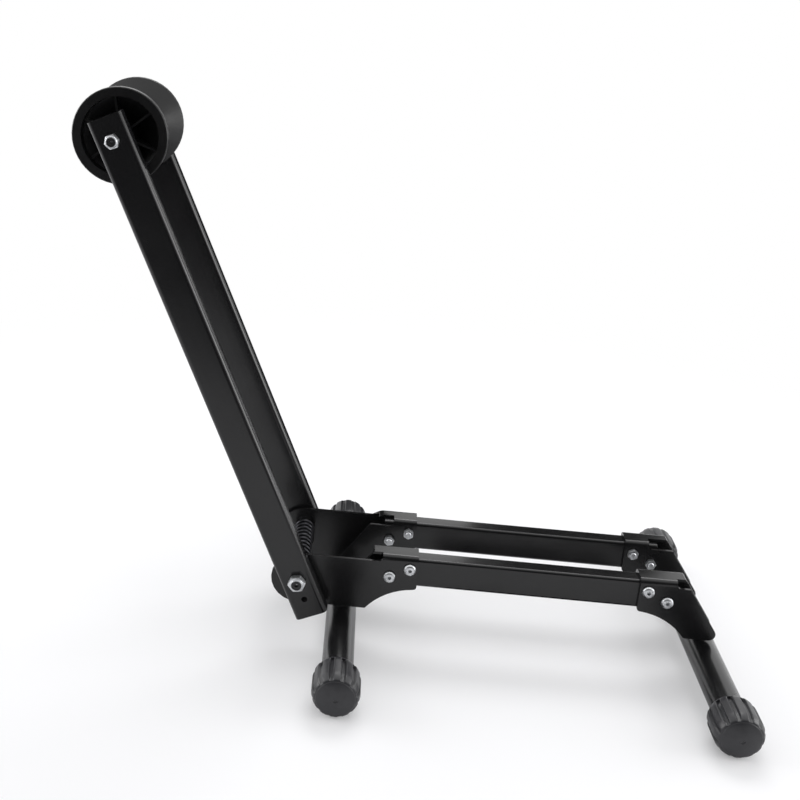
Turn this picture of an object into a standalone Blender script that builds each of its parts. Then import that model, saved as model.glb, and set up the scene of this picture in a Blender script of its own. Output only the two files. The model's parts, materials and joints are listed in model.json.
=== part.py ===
"""Bike parking stand: a tube base that stands on four rubber foot caps, two rails with the wheel slot
between them, and a sprung swing arm that holds a grooved roller against the tyre.

Metres, +Z up. X runs along the rails, Y across them. The world origin is on the floor, under the centre
of the whole stand's bounding box. The base is modelled about its own centre, BASE_X from the origin.
"""
import math

import bmesh
import bpy
from mathutils import Matrix, Vector

MM = 0.001

# Clearances
GAP = 0.3 * MM
SIDE_PLAY = 1.8 * MM

# Facets of round forms
TUBE_SIDES = 32
PIN_SIDES = 24
SCREW_SIDES = 14
HOLE_SIDES = 12

# Cross tubes and foot caps
TUBE_HALF_SPACING = 150 * MM
TUBE_R = 12.5 * MM
TUBE_WALL = 1.5 * MM
BASE_WIDTH = 308 * MM
CAP_R = 18.8 * MM
CAP_LENGTH = 34.5 * MM
CAP_END_WALL = 4 * MM
CAP_COLLAR_R = 16.3 * MM
CAP_COLLAR_LENGTH = 1.4 * MM
CAP_BELLY_START = 8.5 * MM
CAP_BELLY_END = 22.5 * MM
CAP_FACE_START = 31.2 * MM
CAP_FACE_R = 16.2 * MM
CAP_FLUTES = 12
CAP_FLUTE_DEPTH = 1.5 * MM
CAP_FLUTE_SIDES = 4
CAP_DIMPLE_R = 1.6 * MM
CAP_DIMPLE_DEPTH = 0.8 * MM

# Rails
RAIL_Y = 32 * MM
RAIL_WIDTH = 15 * MM
RAIL_HEIGHT = 25 * MM
RAIL_CORNER_R = 2.5 * MM
RAIL_WALL = 1.5 * MM
RAIL_Z = 68 * MM
RAIL_END_X = 118 * MM

# Folded brackets
SHEET = 2.5 * MM
FOLD_R = 4.5 * MM
BRACKET_END_X = 90 * MM
BRACKET_CORNER_R = 2.7 * MM
ARCH_X = 88 * MM
ARCH_R = 54 * MM
FLANGE_BOTTOM_Z = 32.7 * MM
SLANT_BOTTOM_X = 161.3 * MM
SLANT_ANGLE = math.radians(55.5)
SLANT_CORNER_R = 5.4 * MM
INNER_SLANT_ANGLE = math.radians(51)
NOTCH_Z = 77.5 * MM
NOTCH_CORNER_R = 3 * MM
NEAR_NOTCH_X = 119.5 * MM
NEAR_NOTCH_Y = 36.5 * MM
FAR_NOTCH_X = 110 * MM
FAR_NOTCH_Y = 31 * MM
FAR_SLOPE_TOP_X = 119 * MM
FAR_SLOPE_FOOT_X = 128.4 * MM
SADDLE_INBOARD = 7 * MM
SADDLE_OUTBOARD = 1 * MM

# Rail screws and nuts
SCREW_X = (96.8 * MM, 113 * MM)
SCREW_Z = (72.4 * MM, 64.4 * MM)
SCREW_R = 2.5 * MM
SCREW_HEAD_R = 5 * MM
SCREW_HEAD_HEIGHT = 2.7 * MM
SCREW_HEAD_RIM = 0.5 * MM
SCREW_DOME_ANGLE = math.radians(72)
SCREW_SOCKET_FLATS = 3 * MM
SCREW_SOCKET_DEPTH = 1.6 * MM
SCREW_NUT_FLATS = 8 * MM
SCREW_NUT_HEIGHT = 3.5 * MM
SCREW_STICK_OUT = 1 * MM

# Swing arm
PIVOT_X = -188.3 * MM
PIVOT_Z = 61.5 * MM
ARM_LEAN = math.radians(24.2)
ARM_WIDTH = 27.5 * MM
ARM_THICKNESS = 15 * MM
ARM_CORNER_R = 4 * MM
ARM_WALL = 1.5 * MM
ARM_BELOW_PIVOT = 34 * MM
ARM_AXLE_DISTANCE = 382.5 * MM
ARM_ABOVE_AXLE = 18.3 * MM
ARM_HOLE_R = 2.5 * MM
ARM_HOLE_BELOW_PIVOT = 17.3 * MM

# Pivot screw, lock nut and sleeve
PIVOT_SCREW_R = 4 * MM
PIVOT_FLATS = 13 * MM
PIVOT_HEAD_HEIGHT = 5.3 * MM
PIVOT_NUT_HEIGHT = 5.5 * MM
PIVOT_COLLAR_R = 5.6 * MM
PIVOT_COLLAR_HEIGHT = 2.5 * MM
SLEEVE_R = 5 * MM
SLEEVE_FLANGE_R = 12 * MM
SLEEVE_FLANGE_THICKNESS = 3 * MM

# Torsion spring
WIRE_R = 1.6 * MM
SPRING_ROOM = 0.65 * MM
SPRING_PITCH = 6.4 * MM
SPRING_POINTS_PER_TURN = 10
SPRING_BEND_R = 3.2 * MM
SPRING_BEND_STEPS = 3
SPRING_LEG_DROP = 15.2 * MM

# Roller, axle and spacers
AXLE_R = 3 * MM
AXLE_FLATS = 10 * MM
AXLE_HEAD_HEIGHT = 4 * MM
AXLE_NUT_HEIGHT = 4.5 * MM
AXLE_COLLAR_R = 4.3 * MM
AXLE_COLLAR_HEIGHT = 1.8 * MM
AXLE_SLEEVE_R = 5 * MM
SPACER_R = 7.5 * MM
SPACER_LENGTH = 7.3 * MM
ROLLER_R = 36.7 * MM
ROLLER_RIM_WIDTH = 5.5 * MM
ROLLER_RIM_FLAT = 7 * MM
ROLLER_CHAMFER = 0.6 * MM
ROLLER_WAIST_R = 9 * MM
ROLLER_GROOVE_R = 14 * MM
ROLLER_GROOVE_ANGLE = math.radians(46)
ROLLER_GROOVE_STEPS = 4
ROLLER_WALL = 3.5 * MM
ROLLER_BOSS_R = 9.5 * MM
ROLLER_RIBS = 6
ROLLER_RIB_TURN = math.radians(20.3)
ROLLER_RIB_THICKNESS = 1.8 * MM
ROLLER_RIB_INSET = 4.5 * MM
ROLLER_SIDES = 48

# Places that follow from the sizes above
CAP_SIDES = CAP_FLUTES * CAP_FLUTE_SIDES
TUBE_Z = CAP_R * math.cos(math.pi / CAP_SIDES)
RAIL_TOP_Z = RAIL_Z + RAIL_HEIGHT / 2
WEB_TOP_Z = RAIL_TOP_Z + GAP + SHEET
PLATE_IN_Y = RAIL_Y + RAIL_WIDTH / 2 + GAP
PLATE_OUT_Y = PLATE_IN_Y + SHEET
FLANGE_OUT_Y = RAIL_Y - RAIL_WIDTH / 2 - GAP
FLANGE_IN_Y = FLANGE_OUT_Y - SHEET
PLATE_END_R = (NOTCH_Z - FLANGE_BOTTOM_Z) / 2
PLATE_END_X = -PIVOT_X
PLATE_END_Z = FLANGE_BOTTOM_Z + PLATE_END_R
BEYOND_X = PLATE_END_X + 2 * PLATE_END_R
BEYOND_Y = PLATE_OUT_Y + SHEET
BEYOND_Z = WEB_TOP_Z + FOLD_R
ARM_IN_Y = PLATE_OUT_Y + SIDE_PLAY + GAP
ARM_OUT_Y = ARM_IN_Y + ARM_THICKNESS
ROLLER_HALF_WIDTH = ARM_IN_Y - 2 * GAP - SPACER_LENGTH
AXLE_DROP = ARM_AXLE_DISTANCE * math.sin(ARM_LEAN)
BASE_X = (AXLE_DROP + ROLLER_R - PIVOT_X - TUBE_HALF_SPACING - TUBE_Z) / 2
COIL_R = SLEEVE_R + SPRING_ROOM + WIRE_R

NEAR, FAR = -1, 1
LEFT, RIGHT = -1, 1
SIDE_NAMES = {NEAR: "near", FAR: "far"}
END_NAMES = {LEFT: "left", RIGHT: "right"}


# Scene and materials

def clear_scene():
    for item in list(bpy.data.objects):
        bpy.data.objects.remove(item, do_unlink=True)


def make_material(name, color, roughness, metallic):
    material = bpy.data.materials.new(name)
    material.use_nodes = True
    shader = material.node_tree.nodes["Principled BSDF"]
    shader.inputs["Base Color"].default_value = (*color, 1.0)
    shader.inputs["Roughness"].default_value = roughness
    shader.inputs["Metallic"].default_value = metallic
    material.diffuse_color = (*color, 1.0)
    return material


def add_node(name, mesh, look, parent, location=(0, 0, 0), rotation=(0, 0, 0)):
    """Add one named sub-part with its own material."""
    node = bpy.data.objects.new(name, mesh)
    bpy.context.scene.collection.objects.link(node)
    node.parent = parent
    node.location = location
    node.rotation_euler = rotation
    if not mesh.materials:
        mesh.materials.append(make_material(mesh.name, *look))
    return node


def add_empty(name, parent=None, location=(0, 0, 0), rotation=(0, 0, 0)):
    empty = bpy.data.objects.new(name, None)
    bpy.context.scene.collection.objects.link(empty)
    empty.parent = parent
    empty.location = location
    empty.rotation_euler = rotation
    empty.empty_display_size = 20 * MM
    return empty


# Outlines, as lists of points

def arc(center_a, center_b, radius, start, end, steps):
    """Points on an arc between two angles, both ends included."""
    angles = [start + (end - start) * i / steps for i in range(steps + 1)]
    return [(center_a + radius * math.cos(t), center_b + radius * math.sin(t)) for t in angles]


def rounded_rectangle(width, height, radius, steps=3):
    """A closed outline about the origin, with round corners."""
    a, b = width / 2 - radius, height / 2 - radius
    points = []
    for quarter, (ca, cb) in enumerate([(a, b), (-a, b), (-a, -b), (a, -b)]):
        points += arc(ca, cb, radius, quarter * math.pi / 2, (quarter + 1) * math.pi / 2, steps)
    return points


def polygon(radius, sides, turn=0.0):
    return [(radius * math.cos(turn + math.tau * i / sides),
             radius * math.sin(turn + math.tau * i / sides)) for i in range(sides)]


def hexagon(flats):
    return polygon(flats / 2 / math.cos(math.pi / 6), 6)


# Solids, as meshes

def mesh_from(bm, name, smooth_angle=35):
    bmesh.ops.recalc_face_normals(bm, faces=bm.faces)
    mesh = bpy.data.meshes.new(name)
    bm.to_mesh(mesh)
    bm.free()
    mesh.shade_smooth()
    mesh.set_sharp_from_angle(angle=math.radians(smooth_angle))
    return mesh


def extrude_outline(bm, outline, place, start, end):
    """Extrude a closed outline between two stations; place(a, b, station) gives the point."""
    face = bm.faces.new([bm.verts.new(place(a, b, start)) for a, b in outline])
    step = Vector(place(0, 0, end)) - Vector(place(0, 0, start))
    extruded = bmesh.ops.extrude_face_region(bm, geom=[face], use_keep_orig=True)
    moved = [item for item in extruded["geom"] if isinstance(item, bmesh.types.BMVert)]
    bmesh.ops.translate(bm, vec=step, verts=moved)


def along_x(a, b, station):
    return (station, a, b)


def along_y(a, b, station):
    return (a, station, b)


def along_z(a, b, station):
    return (a, b, station)


def prism(name, outline, place, start, end):
    bm = bmesh.new()
    extrude_outline(bm, outline, place, start, end)
    return mesh_from(bm, name)


def hollow_bar(name, width, height, radius, wall, place, start, end):
    """A rectangular tube, open at both ends."""
    bm = bmesh.new()
    outer = rounded_rectangle(width, height, radius)
    inner = rounded_rectangle(width - 2 * wall, height - 2 * wall, radius - wall)
    rings = []
    for station in (start, end):
        for outline in (outer, inner):
            rings.append([bm.verts.new(place(a, b, station)) for a, b in outline])
    for first, second in ((0, 2), (1, 3), (0, 1), (2, 3)):
        bridge(bm, rings[first], rings[second])
    return mesh_from(bm, name)


def bridge(bm, ring_a, ring_b):
    count = len(ring_a)
    for i in range(count):
        j = (i + 1) % count
        bm.faces.new((ring_a[i], ring_a[j], ring_b[j], ring_b[i]))


def turned(name, profile, sides, closed=False, turn=0.0):
    """Turn a profile of (radius, y) points about the Y axis. Radius 0 closes it on the axis."""
    bm = bmesh.new()
    add_turned(bm, profile, sides, closed, turn)
    return mesh_from(bm, name)


def add_turned(bm, profile, sides, closed=False, turn=0.0, y_offset=0.0, radius_at=None):
    rings = []
    for radius, y in profile:
        if radius == 0:
            rings.append(bm.verts.new((0, y + y_offset, 0)))
            continue
        ring = []
        for i in range(sides):
            angle = turn + math.tau * i / sides
            r = radius_at(radius, y, angle) if radius_at else radius
            ring.append(bm.verts.new((r * math.cos(angle), y + y_offset, r * math.sin(angle))))
        rings.append(ring)
    pairs = list(zip(rings, rings[1:]))
    if closed:
        pairs.append((rings[-1], rings[0]))
    for ring_a, ring_b in pairs:
        if isinstance(ring_a, bmesh.types.BMVert):
            fan(bm, ring_a, ring_b)
        elif isinstance(ring_b, bmesh.types.BMVert):
            fan(bm, ring_b, ring_a)
        else:
            bridge(bm, ring_a, ring_b)


def fan(bm, center, ring):
    for i in range(len(ring)):
        bm.faces.new((center, ring[i], ring[(i + 1) % len(ring)]))


def turned_ring(name, outer, inner, start, end, sides=PIN_SIDES):
    """A plain tube about the Y axis."""
    profile = [(outer, start), (outer, end), (inner, end), (inner, start)]
    return turned(name, profile, sides, closed=True)


# Boolean cuts

def combine(node, mesh, operation="DIFFERENCE"):
    """Cut, meet or join a node with a mesh given in the node's own coordinates."""
    tool = bpy.data.objects.new("tool", mesh)
    bpy.context.scene.collection.objects.link(tool)
    tool.parent = node
    modifier = node.modifiers.new("cut", "BOOLEAN")
    modifier.operation = operation
    modifier.solver = "EXACT"
    modifier.object = tool
    bpy.context.view_layer.update()
    result = bpy.data.meshes.new_from_object(node.evaluated_get(bpy.context.evaluated_depsgraph_get()))
    node.modifiers.remove(modifier)
    node.data = result
    bpy.data.objects.remove(tool, do_unlink=True)
    result.shade_smooth()
    result.set_sharp_from_angle(angle=math.radians(35))


def drill_y(node, x, z, radius, start, end, sides=PIN_SIDES):
    """Drill a round hole along Y through a node."""
    outline = [(x + a, z + b) for a, b in polygon(radius, sides)]
    combine(node, prism("drill", outline, along_y, start, end))


# Base

def build_cross_tube(root, end):
    length = BASE_WIDTH - 2 * (CAP_END_WALL + GAP)
    mesh = turned_ring("cross_tube", TUBE_R, TUBE_R - TUBE_WALL, -length / 2, length / 2, TUBE_SIDES)
    name = f"{END_NAMES[end]}_cross_tube"
    add_node(name, mesh, POWDER_COAT, root, (end * TUBE_HALF_SPACING, 0, TUBE_Z))


def cap_radius(radius, y, angle):
    """The cap's wall with its flutes, which run from the collar until the round front falls below them."""
    on_land = math.cos(CAP_FLUTES * (angle + math.pi / 2)) > 0
    if on_land or y <= CAP_COLLAR_LENGTH:
        return radius
    if y < CAP_BELLY_END:
        return radius - CAP_FLUTE_DEPTH
    return min(radius, CAP_R - CAP_FLUTE_DEPTH)


def cap_profile():
    """Points (radius, distance from the inboard rim) on the cap's outer side."""
    points = [(0, 0), (CAP_COLLAR_R, 0), (CAP_COLLAR_R, CAP_COLLAR_LENGTH)]
    for i in range(3):
        t = i / 3 * math.pi / 2
        y = CAP_COLLAR_LENGTH + GAP + (CAP_BELLY_START - CAP_COLLAR_LENGTH) * (1 - math.cos(t))
        points.append((CAP_COLLAR_R + GAP + (CAP_R - CAP_COLLAR_R - GAP) * math.sin(t), y))
    points += [(CAP_R, CAP_BELLY_START + GAP), (CAP_R, CAP_BELLY_END)]
    for i in range(1, 4):
        run = i / 3
        y = CAP_BELLY_END + (CAP_FACE_START - CAP_BELLY_END) * run
        points.append((CAP_R - (CAP_R - CAP_FACE_R) * run ** 2, y))
    for run in (0.7, 0.35, 0):
        y = CAP_FACE_START + (CAP_LENGTH - CAP_FACE_START) * (1 - run ** 2)
        points.append((CAP_FACE_R * run, y))
    return points


def foot_cap_mesh():
    """A cap along Y, its open rim at 0 and its closed end on the +Y side."""
    bm = bmesh.new()
    add_turned(bm, cap_profile(), CAP_SIDES, turn=math.pi / CAP_SIDES, radius_at=cap_radius)
    cap = add_node("cap", mesh_from(bm, "cap"), RUBBER, None)
    bore = polygon(TUBE_R + GAP, PIN_SIDES)
    combine(cap, prism("bore", bore, along_y, -GAP, CAP_LENGTH - CAP_END_WALL))
    dimple = polygon(CAP_DIMPLE_R, HOLE_SIDES)
    combine(cap, prism("dimple", dimple, along_y, CAP_LENGTH - CAP_DIMPLE_DEPTH, CAP_LENGTH + GAP))
    return take_mesh(cap, "foot_cap")


def build_foot_caps(root):
    mesh = foot_cap_mesh()
    for side in (NEAR, FAR):
        for end in (LEFT, RIGHT):
            name = f"{SIDE_NAMES[side]}_{END_NAMES[end]}_foot_cap"
            location = (end * TUBE_HALF_SPACING, side * (BASE_WIDTH / 2 - CAP_LENGTH), TUBE_Z)
            add_node(name, mesh, RUBBER, root, location, (0, 0, math.pi if side == NEAR else 0))


def build_rail(root, side):
    mesh = hollow_bar("rail", RAIL_WIDTH, RAIL_HEIGHT, RAIL_CORNER_R, RAIL_WALL,
                      along_x, -RAIL_END_X, RAIL_END_X)
    rail = add_node(f"{SIDE_NAMES[side]}_rail", mesh, POWDER_COAT, root, (0, side * RAIL_Y, RAIL_Z))
    for end in (LEFT, RIGHT):
        for x, z in zip(SCREW_X, SCREW_Z):
            drill_y(rail, end * x, z - RAIL_Z, SCREW_R + GAP, -RAIL_WIDTH, RAIL_WIDTH, HOLE_SIDES)


def fold_section():
    """The folded sheet in the YZ plane: an upside-down U over the rail, for the far side."""
    inner_r = FOLD_R - SHEET
    fold_z = WEB_TOP_Z - FOLD_R
    left, right = FLANGE_IN_Y, PLATE_OUT_Y
    bottom = TUBE_Z - TUBE_R
    points = [(right, bottom)]
    points += arc(right - FOLD_R, fold_z, FOLD_R, 0, math.pi / 2, 4)
    points += arc(left + FOLD_R, fold_z, FOLD_R, math.pi / 2, math.pi, 4)
    points += [(left, bottom), (left + SHEET, bottom)]
    points += arc(left + FOLD_R, fold_z, inner_r, math.pi, math.pi / 2, 3)
    points += arc(right - FOLD_R, fold_z, inner_r, math.pi / 2, 0, 3)
    points.append((right - SHEET, bottom))
    return points


def slant_x(z, angle):
    """The x of the slanted end of a flange at a height."""
    return SLANT_BOTTOM_X - (z - FLANGE_BOTTOM_Z) / math.tan(angle)


def slant_corner(angle):
    """The round corner between the slanted end and the flange's bottom, from bottom to slant."""
    center_x = SLANT_BOTTOM_X - SLANT_CORNER_R / math.tan(angle / 2)
    center_z = FLANGE_BOTTOM_Z + SLANT_CORNER_R
    return arc(center_x, center_z, SLANT_CORNER_R, -math.pi / 2, math.pi / 2 - angle, 5)


def lower_edge():
    """From the bracket's inner end down its arch to the flat bottom."""
    corner_x = BRACKET_END_X + BRACKET_CORNER_R
    corner_z = math.sqrt(ARCH_R ** 2 - (corner_x - ARCH_X) ** 2) + BRACKET_CORNER_R
    points = arc(corner_x, corner_z, BRACKET_CORNER_R, math.pi, 1.5 * math.pi, 3)[:-1]
    start = math.acos((corner_x - ARCH_X) / ARCH_R)
    return points + arc(ARCH_X, 0, ARCH_R, start, math.asin(FLANGE_BOTTOM_Z / ARCH_R), 8)


def saddle():
    """The tab of the inner flange that reaches down to the cross tube, coped to its round."""
    reach = TUBE_R + GAP
    start = math.pi / 2 + math.asin(SADDLE_INBOARD / reach)
    end = math.pi / 2 - math.asin(SADDLE_OUTBOARD / reach)
    cope = arc(TUBE_HALF_SPACING, TUBE_Z, reach, start, end, 4)
    return [(TUBE_HALF_SPACING - SADDLE_INBOARD, FLANGE_BOTTOM_Z)] + cope + [
        (TUBE_HALF_SPACING + SADDLE_OUTBOARD, FLANGE_BOTTOM_Z)]


def short_outline():
    """A flange that ends on the slant above the cross tube."""
    corner = slant_corner(SLANT_ANGLE)
    slant_top = (slant_x(BEYOND_Z, SLANT_ANGLE), BEYOND_Z)
    return [(BRACKET_END_X, BEYOND_Z)] + lower_edge() + saddle() + corner + [slant_top]


def long_outline(side):
    """The outer plate that runs on past the cross tube to a full-round end round the pivot."""
    end = arc(PLATE_END_X, PLATE_END_Z, PLATE_END_R, -math.pi / 2, math.pi / 2, 12)
    if side == NEAR:
        rise = [(slant_x(z, SLANT_ANGLE), z) for z in (NOTCH_Z, BEYOND_Z)]
    else:
        rise = [(FAR_SLOPE_FOOT_X, NOTCH_Z), (FAR_SLOPE_TOP_X, WEB_TOP_Z), (FAR_SLOPE_TOP_X, BEYOND_Z)]
    return [(BRACKET_END_X, BEYOND_Z)] + lower_edge() + saddle() + end + rise


def beyond_slant(angle):
    """What lies past a slanted end, to cut a short flange out of a long one."""
    corner = slant_corner(angle)
    return [(slant_x(BEYOND_Z, angle), BEYOND_Z)] + corner[::-1] + [
        (corner[0][0], 0), (BEYOND_X, 0), (BEYOND_X, BEYOND_Z)]


def notch_outline(start_x):
    """A notch cut from above, with a round corner at its inner end."""
    corner = arc(start_x + NOTCH_CORNER_R, NOTCH_Z + NOTCH_CORNER_R, NOTCH_CORNER_R,
                 math.pi, 1.5 * math.pi, 3)
    return [(start_x, BEYOND_Z)] + corner + [(BEYOND_X, NOTCH_Z), (BEYOND_X, BEYOND_Z)]


def notch_bracket(bracket, side, end):
    """Open the fold that faces the front: the outer one on the near side, the inner one on the far side."""
    if side == FAR:
        combine(bracket, prism("notch", notch_outline(FAR_NOTCH_X), along_y, 0, FAR_NOTCH_Y))
        return
    combine(bracket, prism("notch", notch_outline(NEAR_NOTCH_X), along_y, NEAR_NOTCH_Y, BEYOND_Y))
    if end == LEFT:
        past = beyond_slant(INNER_SLANT_ANGLE)
        combine(bracket, prism("past", past, along_y, 0, FLANGE_OUT_Y + GAP / 2))


def build_bracket(root, side, end):
    mesh = prism("bracket", fold_section(), along_x, BRACKET_END_X, BEYOND_X)
    name = f"{SIDE_NAMES[side]}_{END_NAMES[end]}_bracket"
    bracket = add_node(name, mesh, POWDER_COAT, root)
    outline = long_outline(side) if end == LEFT else short_outline()
    combine(bracket, prism("outline", outline, along_y, 0, BEYOND_Y), "INTERSECT")
    if end == LEFT:
        combine(bracket, prism("beyond", beyond_slant(SLANT_ANGLE), along_y, 0, PLATE_IN_Y - GAP / 2))
    below = [(BRACKET_END_X, 0), (BEYOND_X, 0), (BEYOND_X, FLANGE_BOTTOM_Z), (BRACKET_END_X, FLANGE_BOTTOM_Z)]
    combine(bracket, prism("below", below, along_y, RAIL_Y, BEYOND_Y))
    notch_bracket(bracket, side, end)
    for x, z in zip(SCREW_X, SCREW_Z):
        drill_y(bracket, x, z, SCREW_R + GAP, 0, BEYOND_Y, HOLE_SIDES)
    if end == LEFT:
        drill_y(bracket, -PIVOT_X, PIVOT_Z, SLEEVE_R + GAP, PLATE_IN_Y - GAP, BEYOND_Y)
        if side == FAR:
            x, z = spring_seat()
            drill_y(bracket, -x, z, WIRE_R + GAP, PLATE_IN_Y - GAP, BEYOND_Y, HOLE_SIDES)
    bracket.data.transform(Matrix.Diagonal((end, side, 1, 1)))
    if end * side < 0:
        bracket.data.flip_normals()


def head_profile(steps=2):
    """The rail screw's low dome, from its rim to its flat top."""
    points = [(SCREW_HEAD_R, 0)]
    dome = SCREW_HEAD_HEIGHT - SCREW_HEAD_RIM
    for i in range(steps + 1):
        t = i / steps * SCREW_DOME_ANGLE
        rise = math.sin(t) / math.sin(SCREW_DOME_ANGLE)
        points.append((SCREW_HEAD_R * math.cos(t), SCREW_HEAD_RIM + dome * rise))
    return points


def rail_screw_mesh():
    """A button-head screw along Y, its seat at 0 and its head on the +Y side."""
    bm = bmesh.new()
    length = PLATE_OUT_Y - FLANGE_IN_Y + 2 * GAP + SCREW_NUT_HEIGHT + SCREW_STICK_OUT
    shank = [(0, -length), (SCREW_R, -length), (SCREW_R, 0)]
    add_turned(bm, shank + head_profile() + [(0, SCREW_HEAD_HEIGHT)], SCREW_SIDES)
    screw = add_node("screw", mesh_from(bm, "screw"), ZINC, None)
    socket = hexagon(SCREW_SOCKET_FLATS)
    start = SCREW_HEAD_HEIGHT - SCREW_SOCKET_DEPTH
    combine(screw, prism("socket", socket, along_y, start, SCREW_HEAD_HEIGHT + GAP))
    return take_mesh(screw, "rail_screw")


def rail_nut_mesh():
    """A thin hexagon nut along Y, its seat at 0 and its body on the -Y side."""
    bm = bmesh.new()
    extrude_outline(bm, hexagon(SCREW_NUT_FLATS), along_y, -SCREW_NUT_HEIGHT, 0)
    nut = add_node("nut", mesh_from(bm, "nut", 20), ZINC, None)
    drill_y(nut, 0, 0, SCREW_R + GAP, -2 * SCREW_NUT_HEIGHT, SCREW_NUT_HEIGHT, HOLE_SIDES)
    return take_mesh(nut, "rail_nut")


def take_mesh(node, name):
    """Keep a piece's mesh for its copies and drop the piece."""
    mesh = node.data
    bpy.data.objects.remove(node, do_unlink=True)
    mesh.name = name
    return mesh


def build_rail_fasteners(root):
    """Two screws at each bracket, heads on the outer plate and nuts on the inner flange."""
    screw, nut = rail_screw_mesh(), rail_nut_mesh()
    for side in (NEAR, FAR):
        turn = (0, 0, math.pi if side == NEAR else 0)
        for end in (LEFT, RIGHT):
            for number, (x, z) in enumerate(zip(SCREW_X, SCREW_Z), start=1):
                where = f"{SIDE_NAMES[side]}_{END_NAMES[end]}"
                screw_y, nut_y = side * (PLATE_OUT_Y + GAP), side * (FLANGE_IN_Y - GAP)
                add_node(f"{where}_rail_screw_{number}", screw, ZINC, root, (end * x, screw_y, z), turn)
                add_node(f"{where}_rail_nut_{number}", nut, ZINC, root, (end * x, nut_y, z), turn)


# Swing arm

def build_arm(pivot, side):
    mesh = hollow_bar("arm", ARM_WIDTH, ARM_THICKNESS, ARM_CORNER_R, ARM_WALL,
                      along_z, -ARM_BELOW_PIVOT, ARM_AXLE_DISTANCE + ARM_ABOVE_AXLE)
    y = side * (ARM_IN_Y + ARM_THICKNESS / 2)
    arm = add_node(f"{SIDE_NAMES[side]}_arm", mesh, POWDER_COAT, pivot, (0, y, 0))
    holes = ((0, PIVOT_SCREW_R + GAP), (ARM_AXLE_DISTANCE, AXLE_R + GAP), (-ARM_HOLE_BELOW_PIVOT, ARM_HOLE_R))
    for z, radius in holes:
        drill_y(arm, 0, z, radius, -ARM_THICKNESS, ARM_THICKNESS)


def build_screw(name, parent, radius, flats, head_height, tip_length):
    """A hexagon screw through both arms, its head against the far arm."""
    seat = ARM_OUT_Y + GAP
    tip = -seat - tip_length
    shank = turned(name, [(0, tip), (radius, tip), (radius, seat), (0, seat)], PIN_SIDES)
    screw = add_node(name, shank, ZINC, parent)
    head = prism("head", hexagon(flats), along_y, seat - GAP / 10, seat + head_height)
    combine(screw, head, "UNION")
    return screw


def build_lock_nut(name, parent, bore_r, flats, height, collar_r, collar_height):
    """A hexagon nut with a round collar, against the near arm."""
    seat = -ARM_OUT_Y - GAP
    nut = add_node(name, prism(name, hexagon(flats), along_y, seat - height, seat), ZINC, parent)
    collar = turned_ring("collar", collar_r, bore_r / 2, seat - height - collar_height, seat - GAP)
    combine(nut, collar, "UNION")
    drill_y(nut, 0, 0, bore_r + GAP, seat - 2 * height - collar_height, seat + height)
    return nut


def build_pivot(pivot):
    build_screw("pivot_screw", pivot, PIVOT_SCREW_R, PIVOT_FLATS, PIVOT_HEAD_HEIGHT,
                PIVOT_NUT_HEIGHT + PIVOT_COLLAR_HEIGHT - GAP)
    build_lock_nut("pivot_lock_nut", pivot, PIVOT_SCREW_R, PIVOT_FLATS, PIVOT_NUT_HEIGHT,
                   PIVOT_COLLAR_R, PIVOT_COLLAR_HEIGHT)
    half = ARM_IN_Y - GAP
    bore = PIVOT_SCREW_R + GAP
    flange_start = -PLATE_IN_Y + GAP
    flange_end = flange_start + SLEEVE_FLANGE_THICKNESS
    profile = [(SLEEVE_R, -half), (SLEEVE_R, flange_start), (SLEEVE_FLANGE_R, flange_start),
               (SLEEVE_FLANGE_R, flange_end), (SLEEVE_R, flange_end), (SLEEVE_R, half),
               (bore, half), (bore, -half)]
    mesh = turned("pivot_sleeve", profile, PIN_SIDES, closed=True)
    sleeve = add_node("pivot_sleeve", mesh, ZINC, pivot, rotation=(0, ARM_LEAN, 0))
    x, z = spring_tail()
    drill_y(sleeve, x, z, WIRE_R + GAP, flange_start - GAP, flange_end + GAP, HOLE_SIDES)


def spring_turns():
    """The coil's whole angle. It ends at the right, heading down, beside the far plate."""
    first = -PLATE_IN_Y + GAP + SLEEVE_FLANGE_THICKNESS + WIRE_R + SPRING_BEND_R
    last = PLATE_IN_Y - GAP - WIRE_R - SPRING_BEND_R
    return first, last, math.tau * (last - first) / SPRING_PITCH


def spring_tail():
    """Where the near tail enters the sleeve's flange, from the pivot axis, in X and Z."""
    angle = spring_turns()[2]
    return (COIL_R * math.cos(angle) - SPRING_BEND_R * math.sin(angle),
            COIL_R * math.sin(angle) + SPRING_BEND_R * math.cos(angle))


def spring_seat():
    """Where the far leg enters the far plate, in X and Z."""
    return PIVOT_X + COIL_R, PIVOT_Z - SPRING_LEG_DROP


def spring_points():
    """The wire's centre line from the near tail, round the coil, to the far leg's end."""
    first, last, whole = spring_turns()
    tail_x, tail_z = spring_tail()
    tail_end = -PLATE_IN_Y + GAP * 2
    points = [Vector((tail_x, tail_end, tail_z))]
    start = Vector((COIL_R * math.cos(whole), first, COIL_R * math.sin(whole)))
    outward = Vector((-math.sin(whole), 0, math.cos(whole)))
    for i in range(SPRING_BEND_STEPS):
        t = i / SPRING_BEND_STEPS * math.pi / 2
        points.append(start + outward * SPRING_BEND_R * math.cos(t)
                      - Vector((0, SPRING_BEND_R * (1 - math.sin(t)), 0)))
    count = round(whole / math.tau * SPRING_POINTS_PER_TURN)
    for i in range(count + 1):
        angle = whole * (1 - i / count)
        y = first + (last - first) * i / count
        points.append(Vector((COIL_R * math.cos(angle), y, COIL_R * math.sin(angle))))
    corner = Vector((COIL_R, last, -SPRING_LEG_DROP))
    for i in range(SPRING_BEND_STEPS + 1):
        t = i / SPRING_BEND_STEPS * math.pi / 2
        turn = Vector((0, 1 - math.cos(t), 1 - math.sin(t)))
        points.append(corner + SPRING_BEND_R * turn)
    points.append(Vector((COIL_R, PLATE_OUT_Y - GAP, -SPRING_LEG_DROP)))
    return points


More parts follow.
